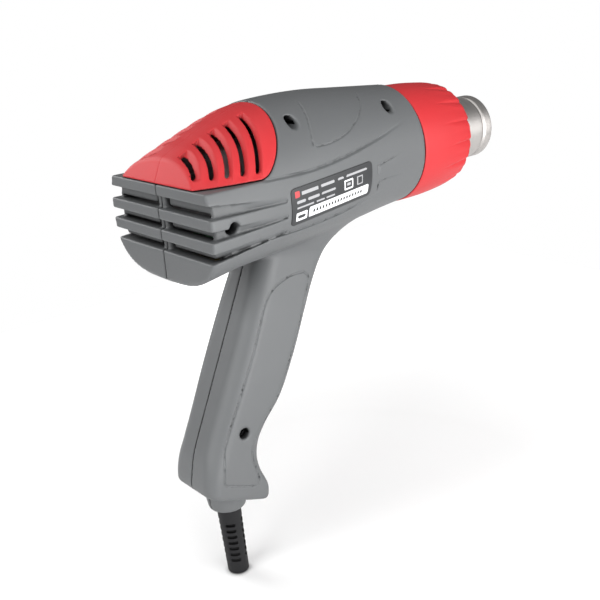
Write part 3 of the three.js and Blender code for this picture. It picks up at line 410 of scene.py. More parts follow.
def engraving(p, body, grip, u, s):
    """How far the engraved lines and creases sink the surface"""
    sunk = np.zeros(len(p))
    near = (np.abs(body) < 3) & (np.abs(p[:, 1]) > 6)
    if near.any():
        x, z = p[near, 0], p[near, 2]
        level = np.zeros(near.sum())
        for path in SIDE_LINES:
            level = np.maximum(level, carved(distance_to_path(x, z, path), 0.55, 0.7))
        for bar, arm in L_MARKS:
            level = np.maximum(level, carved(distance_to_path(x, z, bar), 0.8, 1.2))
            fading = 0.7 * smoothstep((122 - x) / 16)
            level = np.maximum(level, carved(distance_to_path(x, z, arm), 0.5, fading))
        upper, lower = crease_depths(x)
        level = np.maximum(level, carved(z - UPPER_LINE(x)[0], 0.9, 0.75 * upper))
        level = np.maximum(level, carved(z - LOWER_LINE(x)[0], 0.9, 0.75 * lower))
        sunk[near] = level
    near = (np.abs(grip) < 3) & (s > -6) & (s < 108) & (np.abs(p[:, 1]) > 8)
    if near.any():
        sunk[near] = carved(distance_to_path(u[near], s[near], PANEL, closed=True), 0.62, 1.1)
    return sunk


def housing_field(half, lines=True):
    def field(p):
        body = barrel(p)
        grip, u, s = handle(p)
        form = housing_outside(p, body, grip, u, s)
        if lines:
            form = form + engraving(p, body, grip, u, s)
        spigot = np.hypot(p[:, 1], p[:, 2]) - SPIGOT_RADIUS
        spigot = smooth_max(spigot, p[:, 0] - BARREL_END - SPIGOT_LENGTH, 0.6)
        form = np.minimum(form, np.maximum(spigot, BARREL_END - 2 - p[:, 0]))
        form = smooth_max(form, -cover_zone(p), 0.7)
        form = smooth_max(form, -groove_cut(p, body), 0.6)
        form = np.maximum(form, -housing_inside(p, body, grip, s))
        bore = np.maximum(np.hypot(p[:, 1], p[:, 2]) - SPIGOT_RADIUS + WALL, BARREL_END - 5 - p[:, 0])
        form = np.maximum(form, -bore)
        form = smooth_max(form, -screw_recess(p, half), 0.5)
        cord = np.hypot(p[:, 0] - NECK_X, p[:, 1])
        seat = np.maximum(cord - SEAT_RADIUS, np.abs(p[:, 2] - SEAT_MIDDLE) - SEAT_HALF)
        cord = np.minimum(seat, cord - BOOT_HOLE_RADIUS)
        form = smooth_max(form, -np.maximum(cord, p[:, 2] - NECK_ROOT), 0.4)
        half_length, half_width = SWITCH_HOLE
        hole = np.maximum(np.abs(s - SWITCH_S) - half_length, np.abs(p[:, 1]) - half_width)
        form = smooth_max(form, -np.maximum(hole, SWITCH_DEEP - u), 0.5)
        return smooth_max(form, half * -p[:, 1] + SEAM, 0.15)
    return field


def fine_housing(p):
    """Small where the housing needs its finest mesh"""
    x, y, z = p[:, 0], p[:, 1], p[:, 2]
    body = barrel(p)
    grip, u, s = handle(p)
    shown = np.where(housing_outside(p, body, grip, u, s) > -0.8, 0, 9)
    on_side = np.where((np.abs(y) > 8) & (np.abs(body) < 2), 0, 9)
    near = np.full(len(p), FAR)
    for path in SIDE_LINES + [line for mark in L_MARKS for line in mark]:
        near = np.minimum(near, distance_to_path(x, z, path) - 0.5 + on_side)
    upper = np.abs(z - UPPER_LINE(x)[0]) + np.where((x > 29) & (x < 132), 0, 9)
    lower = np.abs(z - LOWER_LINE(x)[0]) + np.where((x > 33) & (x < 112), 0, 9)
    near = np.minimum(near, np.minimum(upper, lower) - 0.6 + on_side)
    on_grip = np.where((np.abs(y) > 8) & (np.abs(grip) < 1.5), 0, 9)
    near = np.minimum(near, distance_to_path(u, s, PANEL, closed=True) - 0.5 + on_grip)
    near = np.minimum(near, np.abs(y) - 0.4 + shown)
    near = np.minimum(near, np.abs(cover_zone(p)) - 0.3 + shown)
    edge = np.abs(groove_cut(p, body)) + np.where(x < 44, 0, 9)
    near = np.minimum(near, edge - 0.1 + np.where(body + 0.6 > 0, 0, 9))
    return np.minimum(near, edge + np.where(x < 1.5, 0, 9))


def cover_field(p):
    x, y, z = p[:, 0], np.abs(p[:, 1]), p[:, 2]
    dome = tube_form(DOME_TABLE, p)
    lean = math.hypot(1, COVER_REAR_LEAN)
    facet = (COVER_REAR_LEAN * (z - COVER_BASE) - x) / lean
    vents = np.full(len(p), FAR)
    ramp = np.zeros(len(p))
    for (x0, z0), (x1, z1), inner in VENTS:
        along = (x1 - x0) / (z1 - z0)
        offset = (x - x0 - (z - z0) * along) / math.hypot(1, along)
        beyond = np.maximum(np.maximum(z0 - z, z - z1), 0)
        vents = np.minimum(vents, np.maximum(np.hypot(offset, beyond) - VENT_HALF, inner - y))
        behind = np.where(offset < 0, 1 + offset / 4.6, 1 - (offset - VENT_HALF + 0.2) / 0.5)
        ends = smoothstep((z - z0 + 3.5) / 3) * smoothstep((z1 + 3 - z) / 4)
        ramp = np.maximum(ramp, smoothstep(behind) * ends)
    ramp = ramp * (0.12 + 0.88 * smoothstep((y - 5) / 13)) * smoothstep((x - 3) / 6)
    skin = smooth_max(dome + RAMP_DEPTH * ramp, facet, 1.0)
    form = smooth_max(skin, cover_zone(p) + COVER_GAP, 0.8)
    form = np.maximum(form, -np.maximum(dome + COVER_WALL, facet + COVER_WALL))
    form = smooth_max(form, 0.2 - np.hypot(y, skin), 0.15)
    return smooth_max(form, -vents, 0.3)


# ------------------------------------------------------------------ meshes from fields
def grid_values(field, axes):
    """Field on the grid, exact near the surface and only its sign elsewhere"""
    size = 6
    centres = [axis[size // 2::size] for axis in axes]
    step = axes[0][1] - axes[0][0]
    mesh = np.stack(np.meshgrid(*centres, indexing="ij"), -1)
    coarse = in_chunks(field, mesh.reshape(-1, 3)).reshape(mesh.shape[:3])
    shape = [len(axis) for axis in axes]
    pick = [np.minimum(np.arange(n) // size, len(c) - 1) for n, c in zip(shape, centres)]
    values = coarse[np.ix_(*pick)]
    near = np.abs(values) < 1.45 * step * size
    index = np.nonzero(near)
    points = np.stack([axes[k][index[k]] for k in range(3)], -1)
    values[index] = in_chunks(field, points)
    return values


def in_chunks(field, points, size=400000):
    return np.concatenate([field(points[i:i + size]) for i in range(0, len(points), size)])


def surface_net(field, low, high, step):
    """Vertices and quads over the zero level of a field"""
    axes = [np.arange(a, b + step, step) for a, b in zip(low, high)]
    values = grid_values(field, axes)
    inside = values < 0
    n = [len(axis) - 1 for axis in axes]

    def corner(array, i, j, k):
        return array[i:i + n[0], j:j + n[1], k:k + n[2]]

    corners = [(i, j, k) for i in (0, 1) for j in (0, 1) for k in (0, 1)]
    count = sum(corner(inside, *c).astype(np.int8) for c in corners)
    cells = np.nonzero((count > 0) & (count < 8))
    total = np.zeros((len(cells[0]), 3))
    crossings = np.zeros(len(cells[0]))
    for a in range(3):
        others = [k for k in range(3) if k != a]
        for side in ((0, 0), (0, 1), (1, 0), (1, 1)):
            first = [0, 0, 0]
            first[others[0]], first[others[1]] = side
            second = list(first)
            second[a] = 1
            f0 = values[tuple(cells[k] + first[k] for k in range(3))]
            f1 = values[tuple(cells[k] + second[k] for k in range(3))]
            cross = (f0 < 0) != (f1 < 0)
            t = np.where(cross, f0 / np.where(cross, f0 - f1, 1), 0)
            for k in range(3):
                total[:, k] += np.where(cross, first[k] + (t if k == a else 0), 0)
            crossings += cross
    place_in_cell = total / crossings[:, None]
    verts = np.stack([axes[k][cells[k]] + place_in_cell[:, k] * step for k in range(3)], -1)
    number = np.full(n, -1, np.int64)
    number[cells] = np.arange(len(verts))
    quads = []
    for a in range(3):
        b, c = (a + 1) % 3, (a + 2) % 3
        low_end = [slice(1, -1)] * 3
        high_end = [slice(1, -1)] * 3
        low_end[a], high_end[a] = slice(0, -1), slice(1, None)
        f0, f1 = inside[tuple(low_end)], inside[tuple(high_end)]
        edge = np.nonzero(f0 != f1)
        at = [edge[k] + (1 if k != a else 0) for k in range(3)]
        ring = []
        for db, dc in ((-1, -1), (0, -1), (0, 0), (-1, 0)):
            cell = list(at)
            cell[b], cell[c] = at[b] + db, at[c] + dc
            ring.append(number[tuple(cell)])
        quad = np.stack(ring, -1)
        turned = ~f0[edge]
        quad[turned] = quad[turned][:, ::-1]
        quads.append(quad)
    return verts, np.concatenate(quads)


def gradient(field, points, eps=0.03):
    slope = np.zeros_like(points)
    for k in range(3):
        shift = np.zeros(3)
        shift[k] = eps
        slope[:, k] = (in_chunks(field, points + shift) - in_chunks(field, points - shift)) / (2 * eps)
    return slope


def settle(field, verts, step, rounds=3):
    """Moves vertices onto the zero level"""
    for _ in range(rounds):
        slope = gradient(field, verts)
        size = np.maximum((slope**2).sum(1), 0.2)
        move = -(in_chunks(field, verts) / size)[:, None] * slope
        length = np.linalg.norm(move, axis=1)
        verts = verts + move * np.minimum(1, 0.4 * step / np.maximum(length, 1e-9))[:, None]
    return verts


def refine(verts, faces, chosen):
    """Splits the chosen quads in four; neighbours keep their shape and take the new edge points"""
    starts = faces
    ends = np.roll(faces, -1, axis=1)
    key = np.minimum(starts, ends) * (len(verts) + 1) + np.maximum(starts, ends)
    split = np.unique(key[chosen])
    mids = (verts[split // (len(verts) + 1)] + verts[split % (len(verts) + 1)]) / 2
    where = np.searchsorted(split, key)
    where = np.minimum(where, len(split) - 1)
    is_split = split[where] == key
    mid_id = np.where(is_split, where + len(verts), -1)
    centre_id = len(verts) + len(split) + np.arange(chosen.sum())
    centres = verts[faces[chosen]].mean(1)
    m = mid_id[chosen]
    f = faces[chosen]
    small = [np.stack([f[:, i], m[:, i], centre_id, m[:, i - 1]], -1) for i in range(4)]
    rest = ~chosen
    plain = rest & ~is_split.any(1)
    mixed = np.nonzero(rest & is_split.any(1))[0]
    polygons = []
    for i in mixed:
        ring = []
        for k in range(4):
            ring.append(faces[i, k])
            if mid_id[i, k] >= 0:
                ring.append(mid_id[i, k])
        polygons.append(ring)
    all_verts = np.vstack([verts, mids, centres])
    return all_verts, np.concatenate([faces[plain]] + small), polygons


def place(points):
    """Gun millimetres to frame metres"""
    return np.asarray(points, float) * MM + ORIGIN


def new_object(name, verts, quads, polygons=()):
    loops = np.concatenate([quads.ravel()] + [np.array(ring) for ring in polygons]).astype(np.int32)
    totals = np.concatenate([np.full(len(quads), quads.shape[1] if len(quads) else 4),
                             np.array([len(ring) for ring in polygons], int)]).astype(np.int32)
    mesh = bpy.data.meshes.new(name)
    mesh.vertices.add(len(verts))
    mesh.vertices.foreach_set("co", place(verts).astype(np.float32).ravel())
    mesh.loops.add(len(loops))
    mesh.loops.foreach_set("vertex_index", loops)
    mesh.polygons.add(len(totals))
    mesh.polygons.foreach_set("loop_start", np.concatenate([[0], np.cumsum(totals)[:-1]]).astype(np.int32))
    mesh.polygons.foreach_set("loop_total", totals)
    mesh.polygons.foreach_set("use_smooth", np.ones(len(totals), bool))
    mesh.update(calc_edges=True)
    mesh.validate()
    piece = bpy.data.objects.new(name, mesh)
    bpy.context.scene.collection.objects.link(piece)
    return piece


def moulded(name, field, low, high, step, fine=None, levels=0, blank=None):
    """A piece meshed from its field, or its blank's, with finer faces where fine() is small"""
    step = step * COARSE
    verts, faces = surface_net(blank or field, low, high, step)
    verts = settle(field, verts, step)
    polygons = []
    if fine:
        for level in range(levels):
            reach = step * (0.9 if level == 0 else 0.6)
            centre = verts[faces].mean(1)
            chosen = in_chunks(fine, centre) < reach
            if polygons:
                used = np.unique(np.concatenate([np.array(ring) for ring in polygons]))
                touching = np.isin(faces, used).any(1)
                chosen &= ~touching
            verts, faces, more = refine(verts, faces, chosen)
            polygons = polygons + more
            step = step / 2
        verts = settle(field, verts, step, 4)
    return new_object(name, verts, faces, polygons)


# ------------------------------------------------------------------ turned pieces
def fillet(points, radii, steps=5):
    """Closed profile with each corner rounded by its own radius"""
    out = []
    for i, (corner, radius) in enumerate(zip(points, radii)):
        if not radius:
            out.append(corner)
            continue
        before, after = np.array(points[i - 1]), np.array(points[(i + 1) % len(points)])
        corner = np.array(corner)
        one, two = (before - corner), (after - corner)
        one, two = one / np.linalg.norm(one), two / np.linalg.norm(two)
        for t in np.linspace(0, 1, steps + 1):
            out.append(tuple(corner + radius * (one * (1 - t) ** 2 + two * t**2)))
    return out


def spaced(profile, longest):
    """Adds points so that no side of the closed profile is longer than this"""
    out = []
    for a, b in zip(profile, profile[1:] + profile[:1]):
        n = max(1, math.ceil(math.dist(a, b) / longest))
        out += [tuple(np.array(a) + (np.array(b) - np.array(a)) * k / n) for k in range(n)]
    return out


def turned(name, profile, angles, shape=None):
    """Closed profile of (x, radius) turned about the barrel's axis"""
    x = np.array([point[0] for point in profile])[:, None] + 0 * angles
    r = np.array([point[1] for point in profile])[:, None] + 0 * angles
    if shape:
        r = shape(x, r, angles)
    verts = np.stack([x, -r * np.sin(angles), r * np.cos(angles)], -1).reshape(-1, 3)
    rings, around = x.shape
    i, j = np.meshgrid(np.arange(rings), np.arange(around), indexing="ij")
    i1, j1 = (i + 1) % rings, (j + 1) % around
    quads = np.stack([i * around + j, i1 * around + j, i1 * around + j1, i * around + j1], -1)
    return new_object(name, verts, quads.reshape(-1, 4))


def whole_turn(count):
    return np.linspace(0, 2 * math.pi, count, endpoint=False)


NOZZLE_RADIUS = 17
NOZZLE_START = 101.6
NOZZLE_FLANGE_RADIUS = 19.6


def nozzle():
    inner, bead = NOZZLE_RADIUS - 0.8, LENGTH - 6.2
    flange_front = NOZZLE_START + 1.2
    profile = fillet([
        (NOZZLE_START, inner), (NOZZLE_START, NOZZLE_FLANGE_RADIUS),
        (flange_front, NOZZLE_FLANGE_RADIUS), (flange_front, NOZZLE_RADIUS - 0.1),
        (bead - 1.5, NOZZLE_RADIUS - 0.1), (bead - 0.2, NOZZLE_RADIUS - 0.75),
        (bead + 0.9, NOZZLE_RADIUS),
        (LENGTH, NOZZLE_RADIUS), (LENGTH, NOZZLE_RADIUS - 1.3), (bead + 0.9, NOZZLE_RADIUS - 1.3),
        (bead - 1.5, inner),
    ], [0, 0.3, 0.3, 0.5, 0.7, 0.35, 0.6, 0.45, 0.45, 0.5, 0.5])
    return turned("nozzle_shell", spaced(profile, 2.0), whole_turn(160))


COLLAR_END = 177.9
COLLAR_OUTLINE = Table([
    [138, 30.0], [146, 30.0], [154, 29.8], [162, 29.2], [170, 28.3], [175, 27.4], [178, 26.6],
])
FLUTES = 16
FLUTE_START = 153
FLUTE_DEPTH = 1.05
FLUTE_TURN = math.radians(47.5)


def fluted(x, r, angles):
    """Grip flutes: notches that deepen towards the front"""
    pitch = 2 * math.pi / FLUTES
    off = (angles - FLUTE_TURN + pitch / 2) % pitch - pitch / 2
    arc = off * 27
    t = smoothstep((x - FLUTE_START) / 22)
    width = np.where(arc > 0, 0.9 + 2.6 * t, 0.6 + 0.9 * t)
    notch = np.maximum(0, 1 - np.abs(arc) / width) ** 1.5
    crown = 0.35 * t * (1 - (2 * off / pitch) ** 2)
    outer = smoothstep((r - 22) / 3)
    return r - outer * (FLUTE_DEPTH * t * notch + 0.35 * t - crown)


def collar():
    start = BARREL_END + 0.3
    shoulder = COLLAR_END - 1.8
    outside = [(x, float(COLLAR_OUTLINE(x)[0])) for x in np.linspace(start + 0.5, shoulder, 30)]
    front = [(shoulder, outside[-1][1]), (COLLAR_END, 25.9), (COLLAR_END, 18.3)]
    front = fillet(front, [0, 1.5, 0.4], 6)
    inside = [(COLLAR_END - 2.5, 18.3), (COLLAR_END - 2.5, 22.7), (152.6, 25.3), (152.6, 26.4),
              (start, 26.4), (start, outside[0][1] - 0.5), (start + 0.15, outside[0][1] - 0.15)]
    profile = outside[:-1] + front + inside
    warp = np.linspace(-1, 1, 24, endpoint=False)
    local = np.sign(warp) * np.abs(warp) ** 1.5 * math.pi / FLUTES
    angles = (FLUTE_TURN + 2 * math.pi / FLUTES * np.arange(FLUTES)[:, None] + local).ravel()
    return turned("nose_collar_shell", spaced(profile, 3.0), angles, fluted)


# ------------------------------------------------------------------ small moulded pieces
BOOT_TOP = -150.4
BOOT_SLOTS = 7
BOOT_FIRST_SLOT = -171.3
BOOT_PITCH = 3.5
BOOT_LEAN = 0.05                 # the boot hangs forward by this much per mm
BOOT_TURN = math.radians(51.6)   # from the gun's rear to the first column of slots


def boot_field(p):
    y, z = p[:, 1], p[:, 2]
    x = p[:, 0] - NECK_X - BOOT_LEAN * np.maximum(0, -153.2 - z)
    a = x * math.cos(BOOT_TURN) + y * math.sin(BOOT_TURN)
    b = y * math.cos(BOOT_TURN) - x * math.sin(BOOT_TURN)
    around = np.hypot(x, y)
    radius = np.interp(z, [BOOT_END, BOOT_END + 5, -163, -150], [5.45, 5.5, 6.1, 6.3])
    body = smooth_max(around - radius, BOOT_END - z, 0.8)
    body = smooth_max(body, z - BOOT_TOP, 0.2)
    flange = smooth_max(around - 8.1, np.abs(z + 151.7) - 1.4, 0.5)
    form = smooth_min(body, flange, 0.6)
    form = smooth_max(form, 3.6 - around, 0.3)
    for out, across, shift in ((np.abs(a), b, 0), (np.abs(b), a, 0.5)):
        level = BOOT_FIRST_SLOT + BOOT_PITCH * shift
        row = np.clip(np.round((level - z) / BOOT_PITCH), 0, BOOT_SLOTS - 1)
        slot = smooth_max(np.abs(z - level + BOOT_PITCH * row) - 0.85, np.abs(across) - 2.4, 0.6)
        form = smooth_max(form, -np.maximum(slot, 4.0 - out), 0.4)
    return form


def cord_boot():
    low, high = (NECK_X - 9, -9, BOOT_END - 1), (NECK_X + 9, 9, -149)
    return moulded("cord_boot_ribbed", boot_field, low, high, 0.3)


def screw_field(x0, z0, head):
    def field(p):
        x, y, z = p[:, 0] - x0, p[:, 1] - head, p[:, 2] - z0
        around = np.hypot(x, z)
        cap = smooth_max(around - 2.75, np.abs(y + 1.25) - 0.95, 0.9)
        shank = smooth_max(around - 1.3, y - 9 + head, 0.3)
        shank = smooth_max(shank, -1 - y, 0.1)
        width = 0.38 - 0.1 * (y + 2.2)
        upright = np.maximum(np.abs(x) - width, np.abs(z) - 1.6)
        level = np.maximum(np.abs(z) - width, np.abs(x) - 1.6)
        cross = np.maximum(np.minimum(upright, level), y + 1.15)
        return smooth_max(np.minimum(cap, shank), -cross, 0.12)
    return field


def housing_screw(number):
    (x, z), head = SCREWS[number]
    low, high = (x - 3.2, head - 2.7, z - 3.2), (x + 3.2, 9.4, z + 3.2)
    return moulded(f"housing_screw_head_{number + 1}", screw_field(x, z, head), low, high, 0.22)


def rocker_field(p):
    u, s = handle_axes(p)
    s = s - SWITCH_S
    face = 34.5 - 1.7 * (1 - (s / 8.5) ** 2)
    form = smooth_max(u - face, np.abs(s) - 8.4 - 0.06 * (u - 31), 0.8)
    form = smooth_max(form, np.abs(p[:, 1]) - 5.25, 0.9)
    form = smooth_max(form, 31.2 - u, 0.3)
    barrel_part = smooth_max(np.hypot(u - 28.5, s) - 4.4, np.abs(p[:, 1]) - 5.25, 0.4)
    ribs = np.abs((s + 0.9) % 1.8 - 0.9) - 0.25
    between = np.maximum(ribs, np.maximum(face - 0.3 - u, np.abs(p[:, 1]) - 3.9))
    form = smooth_max(form, -between, 0.25)
    return np.minimum(form, barrel_part)


def rocker():
    return moulded("rocker_button", rocker_field, (47, -6, -92), (67, 6, -71), 0.26)


def switch_frame_field(p):
    u, s = handle_axes(p)
    s = s - SWITCH_S
    y = np.abs(p[:, 1])
    lip = smooth_max(np.maximum(np.abs(s) - 10.9, y - 6.9), np.abs(u - 31.9) - 1.6, 0.6)
    shell = smooth_max(np.maximum(np.abs(s) - 10, y - 6.3), np.abs(u - 22.6) - 8.5, 0.5)
    well = np.maximum(np.maximum(np.abs(s) - 9.9, y - 5.65), 20 - u)
    form = smooth_max(np.minimum(lip, shell), -well, 0.3)
    tags = np.maximum(np.abs((s + 3.0) % 6.0 - 3.0) - 0.4, np.abs(s) - 8)
    tags = np.maximum(tags, np.maximum(y - 2.4, np.abs(u - 12) - 3.4))
    return np.minimum(form, tags)


def switch_frame():
    return moulded("switch_frame", switch_frame_field, (33, -8, -95), (68, 8, -62), 0.36)


# ------------------------------------------------------------------ rating label
LABEL_CORNER = (43.4, -17.7)
LABEL_SIZE = (53.4, 16.7)
LABEL_RISE = 0.06                # slope of its long edges
LABEL_THICKNESS = 0.32


def side_surface(x, z):
    """y of the barrel's right side, found by stepping along the field"""
    p = np.stack([x, -38 + 0 * x, z], -1)
    for _ in range(12):
        slope = gradient(barrel, p)[:, 1]
        p[:, 1] -= barrel(p) / slope
    return p[:, 1]


# Generic print: left, right, low and high edge of each bar, from the label's corner, and its ink
LABEL_BARS = [
    [2.2, 5.0, 12.4, 15.2, 3], [6.2, 16.6, 12.8, 14.5, 1], [18.4, 27.0, 13.2, 14.4, 1],
    [29.4, 33.4, 13.3, 14.3, 1], [35.2, 49.6, 13.4, 14.3, 1],
    [3.0, 8.4, 9.7, 10.8, 1], [9.8, 17.0, 9.7, 10.8, 1], [18.4, 27.6, 9.9, 10.8, 1],
    [3.0, 13.4, 7.3, 8.2, 1], [15.0, 20.2, 7.3, 8.2, 1], [21.4, 27.0, 7.3, 8.2, 1],
    [33.6, 39.6, 7.6, 12.2, 2], [34.3, 38.9, 8.3, 11.5, 0], [35.4, 37.8, 9.3, 10.6, 1],
    [42.4, 46.4, 7.8, 12.0, 1], [43.0, 45.8, 8.4, 11.4, 0],
    [2.6, 9.2, 1.7, 5.6, 2], [3.6, 8.2, 2.9, 4.4, 0],
    [10.6, 50.8, 1.8, 6.2, 2],
] + [[at, at + 1.3, 3.2, 4.7, 0] for at in np.arange(13, 47, 2.0)]


def label():
    """A thin printed plate that follows the barrel's curved side"""
    cell = 0.25 * COARSE
    columns, rows = (int(size / cell) for size in LABEL_SIZE)
    b = np.linspace(0, LABEL_SIZE[1], rows + 1)[None, :]
    xi = np.linspace(0, 1, columns + 1)[:, None]
    corner = 2.0
    over = np.maximum(0, np.maximum(corner - b, b - LABEL_SIZE[1] + corner))
    inset = corner - np.sqrt(np.maximum(corner**2 - over**2, 0))
    a = inset + xi * (LABEL_SIZE[0] - 2 * inset)
    x = (LABEL_CORNER[0] + a + 0 * b).ravel()
    z = (LABEL_CORNER[1] + a * LABEL_RISE + b).ravel()
    y = side_surface(x, z)
    top = np.stack([x, y - LABEL_THICKNESS, z], -1)
    under = np.stack([x, y - 0.02, z], -1)
    number = np.arange((columns + 1) * (rows + 1)).reshape(columns + 1, rows + 1)
    face = np.stack([number[:-1, :-1], number[1:, :-1], number[1:, 1:], number[:-1, 1:]], -1).reshape(-1, 4)
    rim = np.concatenate([number[:, 0], number[-1, 1:], number[-2::-1, -1], number[0, -2:0:-1]])
    after = np.roll(rim, -1)
    half = number.size
    skirt = np.stack([after, rim, rim + half, after + half], -1)
    quads = np.concatenate([face, face[:, ::-1] + half, skirt])
    piece = new_object("rating_plate", np.vstack([top, under]), quads)
    flat_a, flat_b = a.ravel(), (b + 0 * a).ravel()
    mid_a, mid_b = flat_a[face].mean(1), flat_b[face].mean(1)
    print_at = np.zeros(len(quads), np.int32)
    for left, right, low, high, ink in LABEL_BARS:
        wide = np.maximum(np.abs(mid_a - (left + right) / 2) - (right - left) / 2 + 0.5, 0)
        tall = np.maximum(np.abs(mid_b - (low + high) / 2) - (high - low) / 2 + 0.5, 0)
        print_at[np.nonzero(np.hypot(wide, tall) < 0.5)[0]] = ink
    piece.data.polygons.foreach_set("material_index", print_at)
    return piece


# ------------------------------------------------------------------ materials
def linked(tree, kind, **inputs):
    """A new node with its inputs set, or fed where a socket is given"""
    node = tree.nodes.new(kind)
    for name, value in inputs.items():
        socket = node.inputs[name.replace("_", " ")]
        if isinstance(value, bpy.types.NodeSocket):
            tree.links.new(value, socket)
        else:
            socket.default_value = value
    return node


PAINTED_SHADE_REACH = 5                      # gaps narrower than this get painted shade darkening the base colour, millimetres


def material(name, colour, roughness, metallic=0.0, grain=1500, bump=0.12, depth=0.04,
             mottle=0.05, spread=0.06, stretch=(1, 1, 1), **surface):
    """Noise-driven colour with painted shade in crevices, roughness and fine relief; other sockets are set
    as given
    """
    made = bpy.data.materials.new(name)
    made.use_nodes = True
    tree = made.node_tree
    shader = tree.nodes["Principled BSDF"]
    place_at = tree.nodes.new("ShaderNodeTexCoord").outputs["Object"]
    stretched = linked(tree, "ShaderNodeMapping", Vector=place_at, Scale=stretch).outputs["Vector"]
    fine = linked(tree, "ShaderNodeTexNoise", Vector=stretched, Scale=grain, Detail=4, Roughness=0.6)
    broad = linked(tree, "ShaderNodeTexNoise", Vector=stretched, Scale=grain / 22, Detail=3, Roughness=0.55)
    blend = tree.nodes.new("ShaderNodeMix")
    blend.data_type = "RGBA"
    tree.links.new(broad.outputs["Fac"], blend.inputs["Factor"])
    blend.inputs[6].default_value = [c * (1 - mottle) for c in colour] + [1]
    blend.inputs[7].default_value = [min(1, c * (1 + mottle)) for c in colour] + [1]
    speck = tree.nodes.new("ShaderNodeMix")
    speck.data_type = "RGBA"
    speck.blend_type = "OVERLAY"
    speck.inputs["Factor"].default_value = min(1, mottle * 4)
    tree.links.new(blend.outputs[2], speck.inputs[6])
    grey = linked(tree, "ShaderNodeMapRange", Value=fine.outputs["Fac"], To_Min=0.35, To_Max=0.65)
    tree.links.new(grey.outputs[0], speck.inputs[7])
    # Ambient occlusion multiplies the base colour down: painted shade in creases, seams, vents and recesses
    shade_occlusion = linked(tree, "ShaderNodeAmbientOcclusion", Distance=PAINTED_SHADE_REACH * MM)
    shade = linked(tree, "ShaderNodeMapRange", Value=shade_occlusion.outputs["AO"], From_Min=0.25, From_Max=0.8,
                   To_Min=0.04)
    painted_shade_colour = tree.nodes.new("ShaderNodeMix")
    painted_shade_colour.data_type = "RGBA"
    painted_shade_colour.blend_type = "MULTIPLY"
    painted_shade_colour.inputs["Factor"].default_value = 1
    tree.links.new(speck.outputs[2], painted_shade_colour.inputs[6])
    tree.links.new(shade.outputs[0], painted_shade_colour.inputs[7])
    tree.links.new(painted_shade_colour.outputs[2], shader.inputs["Base Color"])
    rough = linked(tree, "ShaderNodeMapRange", Value=fine.outputs["Fac"], From_Min=0.3, From_Max=0.7,
                   To_Min=roughness - spread, To_Max=roughness + spread)
    tree.links.new(rough.outputs[0], shader.inputs["Roughness"])
    relief = linked(tree, "ShaderNodeBump", Height=fine.outputs["Fac"], Strength=bump, Distance=depth * MM)
    tree.links.new(relief.outputs["Normal"], shader.inputs["Normal"])
    shader.inputs["Metallic"].default_value = metallic
    for socket, value in surface.items():
        shader.inputs[socket.replace("_", " ")].default_value = value
    return made


RINGS = (1, 0.03, 0.03)          # stretches a pattern into rings about the barrel's axis
GREY = (0.098, 0.102, 0.105)
RED = (0.45, 0.026, 0.030)
FINISHES = {
    "housing_plastic": material("grey_moulding", GREY, 0.52, grain=1500, bump=0.3, depth=0.05,
                                mottle=0.04),
    "red_plastic": material("red_moulding", RED, 0.5, grain=1500, bump=0.25, depth=0.05, mottle=0.04,
                            Specular_IOR_Level=0.25),
    "black_plastic": material("black_moulding", (0.018, 0.018, 0.02), 0.45, mottle=0.12),
    "label_film": material("label_film", (0.026, 0.027, 0.029), 0.4, grain=900, bump=0.05,
                           Specular_IOR_Level=0.4),
    "boot_rubber": material("boot_rubber", (0.010, 0.010, 0.011), 0.6, grain=1100, bump=0.3, mottle=0.15,
                            Specular_IOR_Level=0.22),
    "nozzle_steel": material("nozzle_steel", (0.46, 0.44, 0.425), 0.48, 1.0, grain=2400, bump=0.15,
                             depth=0.02, mottle=0.07, stretch=RINGS, spread=0.08),
    "steel": material("plain_steel", (0.45, 0.45, 0.46), 0.35, 1.0, grain=1800, mottle=0.08, stretch=RINGS),
    # Blackened screw steel made darker still so that the deep screw recesses read black: partly the steel's
    # own colour, partly painted shade
    "dark_steel": material("dark_steel", (0.035, 0.035, 0.037), 0.5, 1.0, grain=1600, mottle=0.1),
    "laminated_iron": material("laminated_iron", (0.20, 0.20, 0.21), 0.55, 1.0, grain=2600, bump=0.5,
                               depth=0.1, mottle=0.2, stretch=(1, 0.01, 0.01)),
    "ferrite": material("ferrite", (0.05, 0.05, 0.055), 0.75, grain=700, mottle=0.2),
    "copper": material("copper", (0.72, 0.38, 0.2), 0.3, 1.0, grain=2200, mottle=0.1, stretch=RINGS),
    "bronze": material("sintered_bronze", (0.55, 0.40, 0.2), 0.55, 1.0, grain=3000, bump=0.4, mottle=0.15),
    "heating_wire": material("oxidised_wire", (0.25, 0.22, 0.2), 0.5, 1.0, grain=900, mottle=0.3),
    "mica": material("mica_sheet", (0.5, 0.43, 0.3), 0.35, grain=420, bump=0.3, mottle=0.25, spread=0.15),
    "ceramic": material("fired_ceramic", (0.74, 0.71, 0.64), 0.7, grain=1300, bump=0.3, mottle=0.06),
    "carbon": material("carbon_brush", (0.015, 0.015, 0.016), 0.6, grain=2600, mottle=0.3),
    "board": material("solder_mask", (0.03, 0.16, 0.06), 0.3, grain=500, mottle=0.12),
    "capacitor_case": material("capacitor_case", (0.7, 0.45, 0.05), 0.3, grain=600, mottle=0.06),
    "wire_brown": material("brown_insulation", (0.11, 0.04, 0.02), 0.4, grain=800, mottle=0.08),
    "wire_blue": material("blue_insulation", (0.03, 0.12, 0.4), 0.4, grain=800, mottle=0.08),
    "wire_red": material("red_sleeve", (0.3, 0.03, 0.03), 0.6, grain=2600, bump=0.4, mottle=0.15),
    "wire_grey": material("grey_insulation", (0.07, 0.07, 0.07), 0.4, grain=800, mottle=0.08),
}
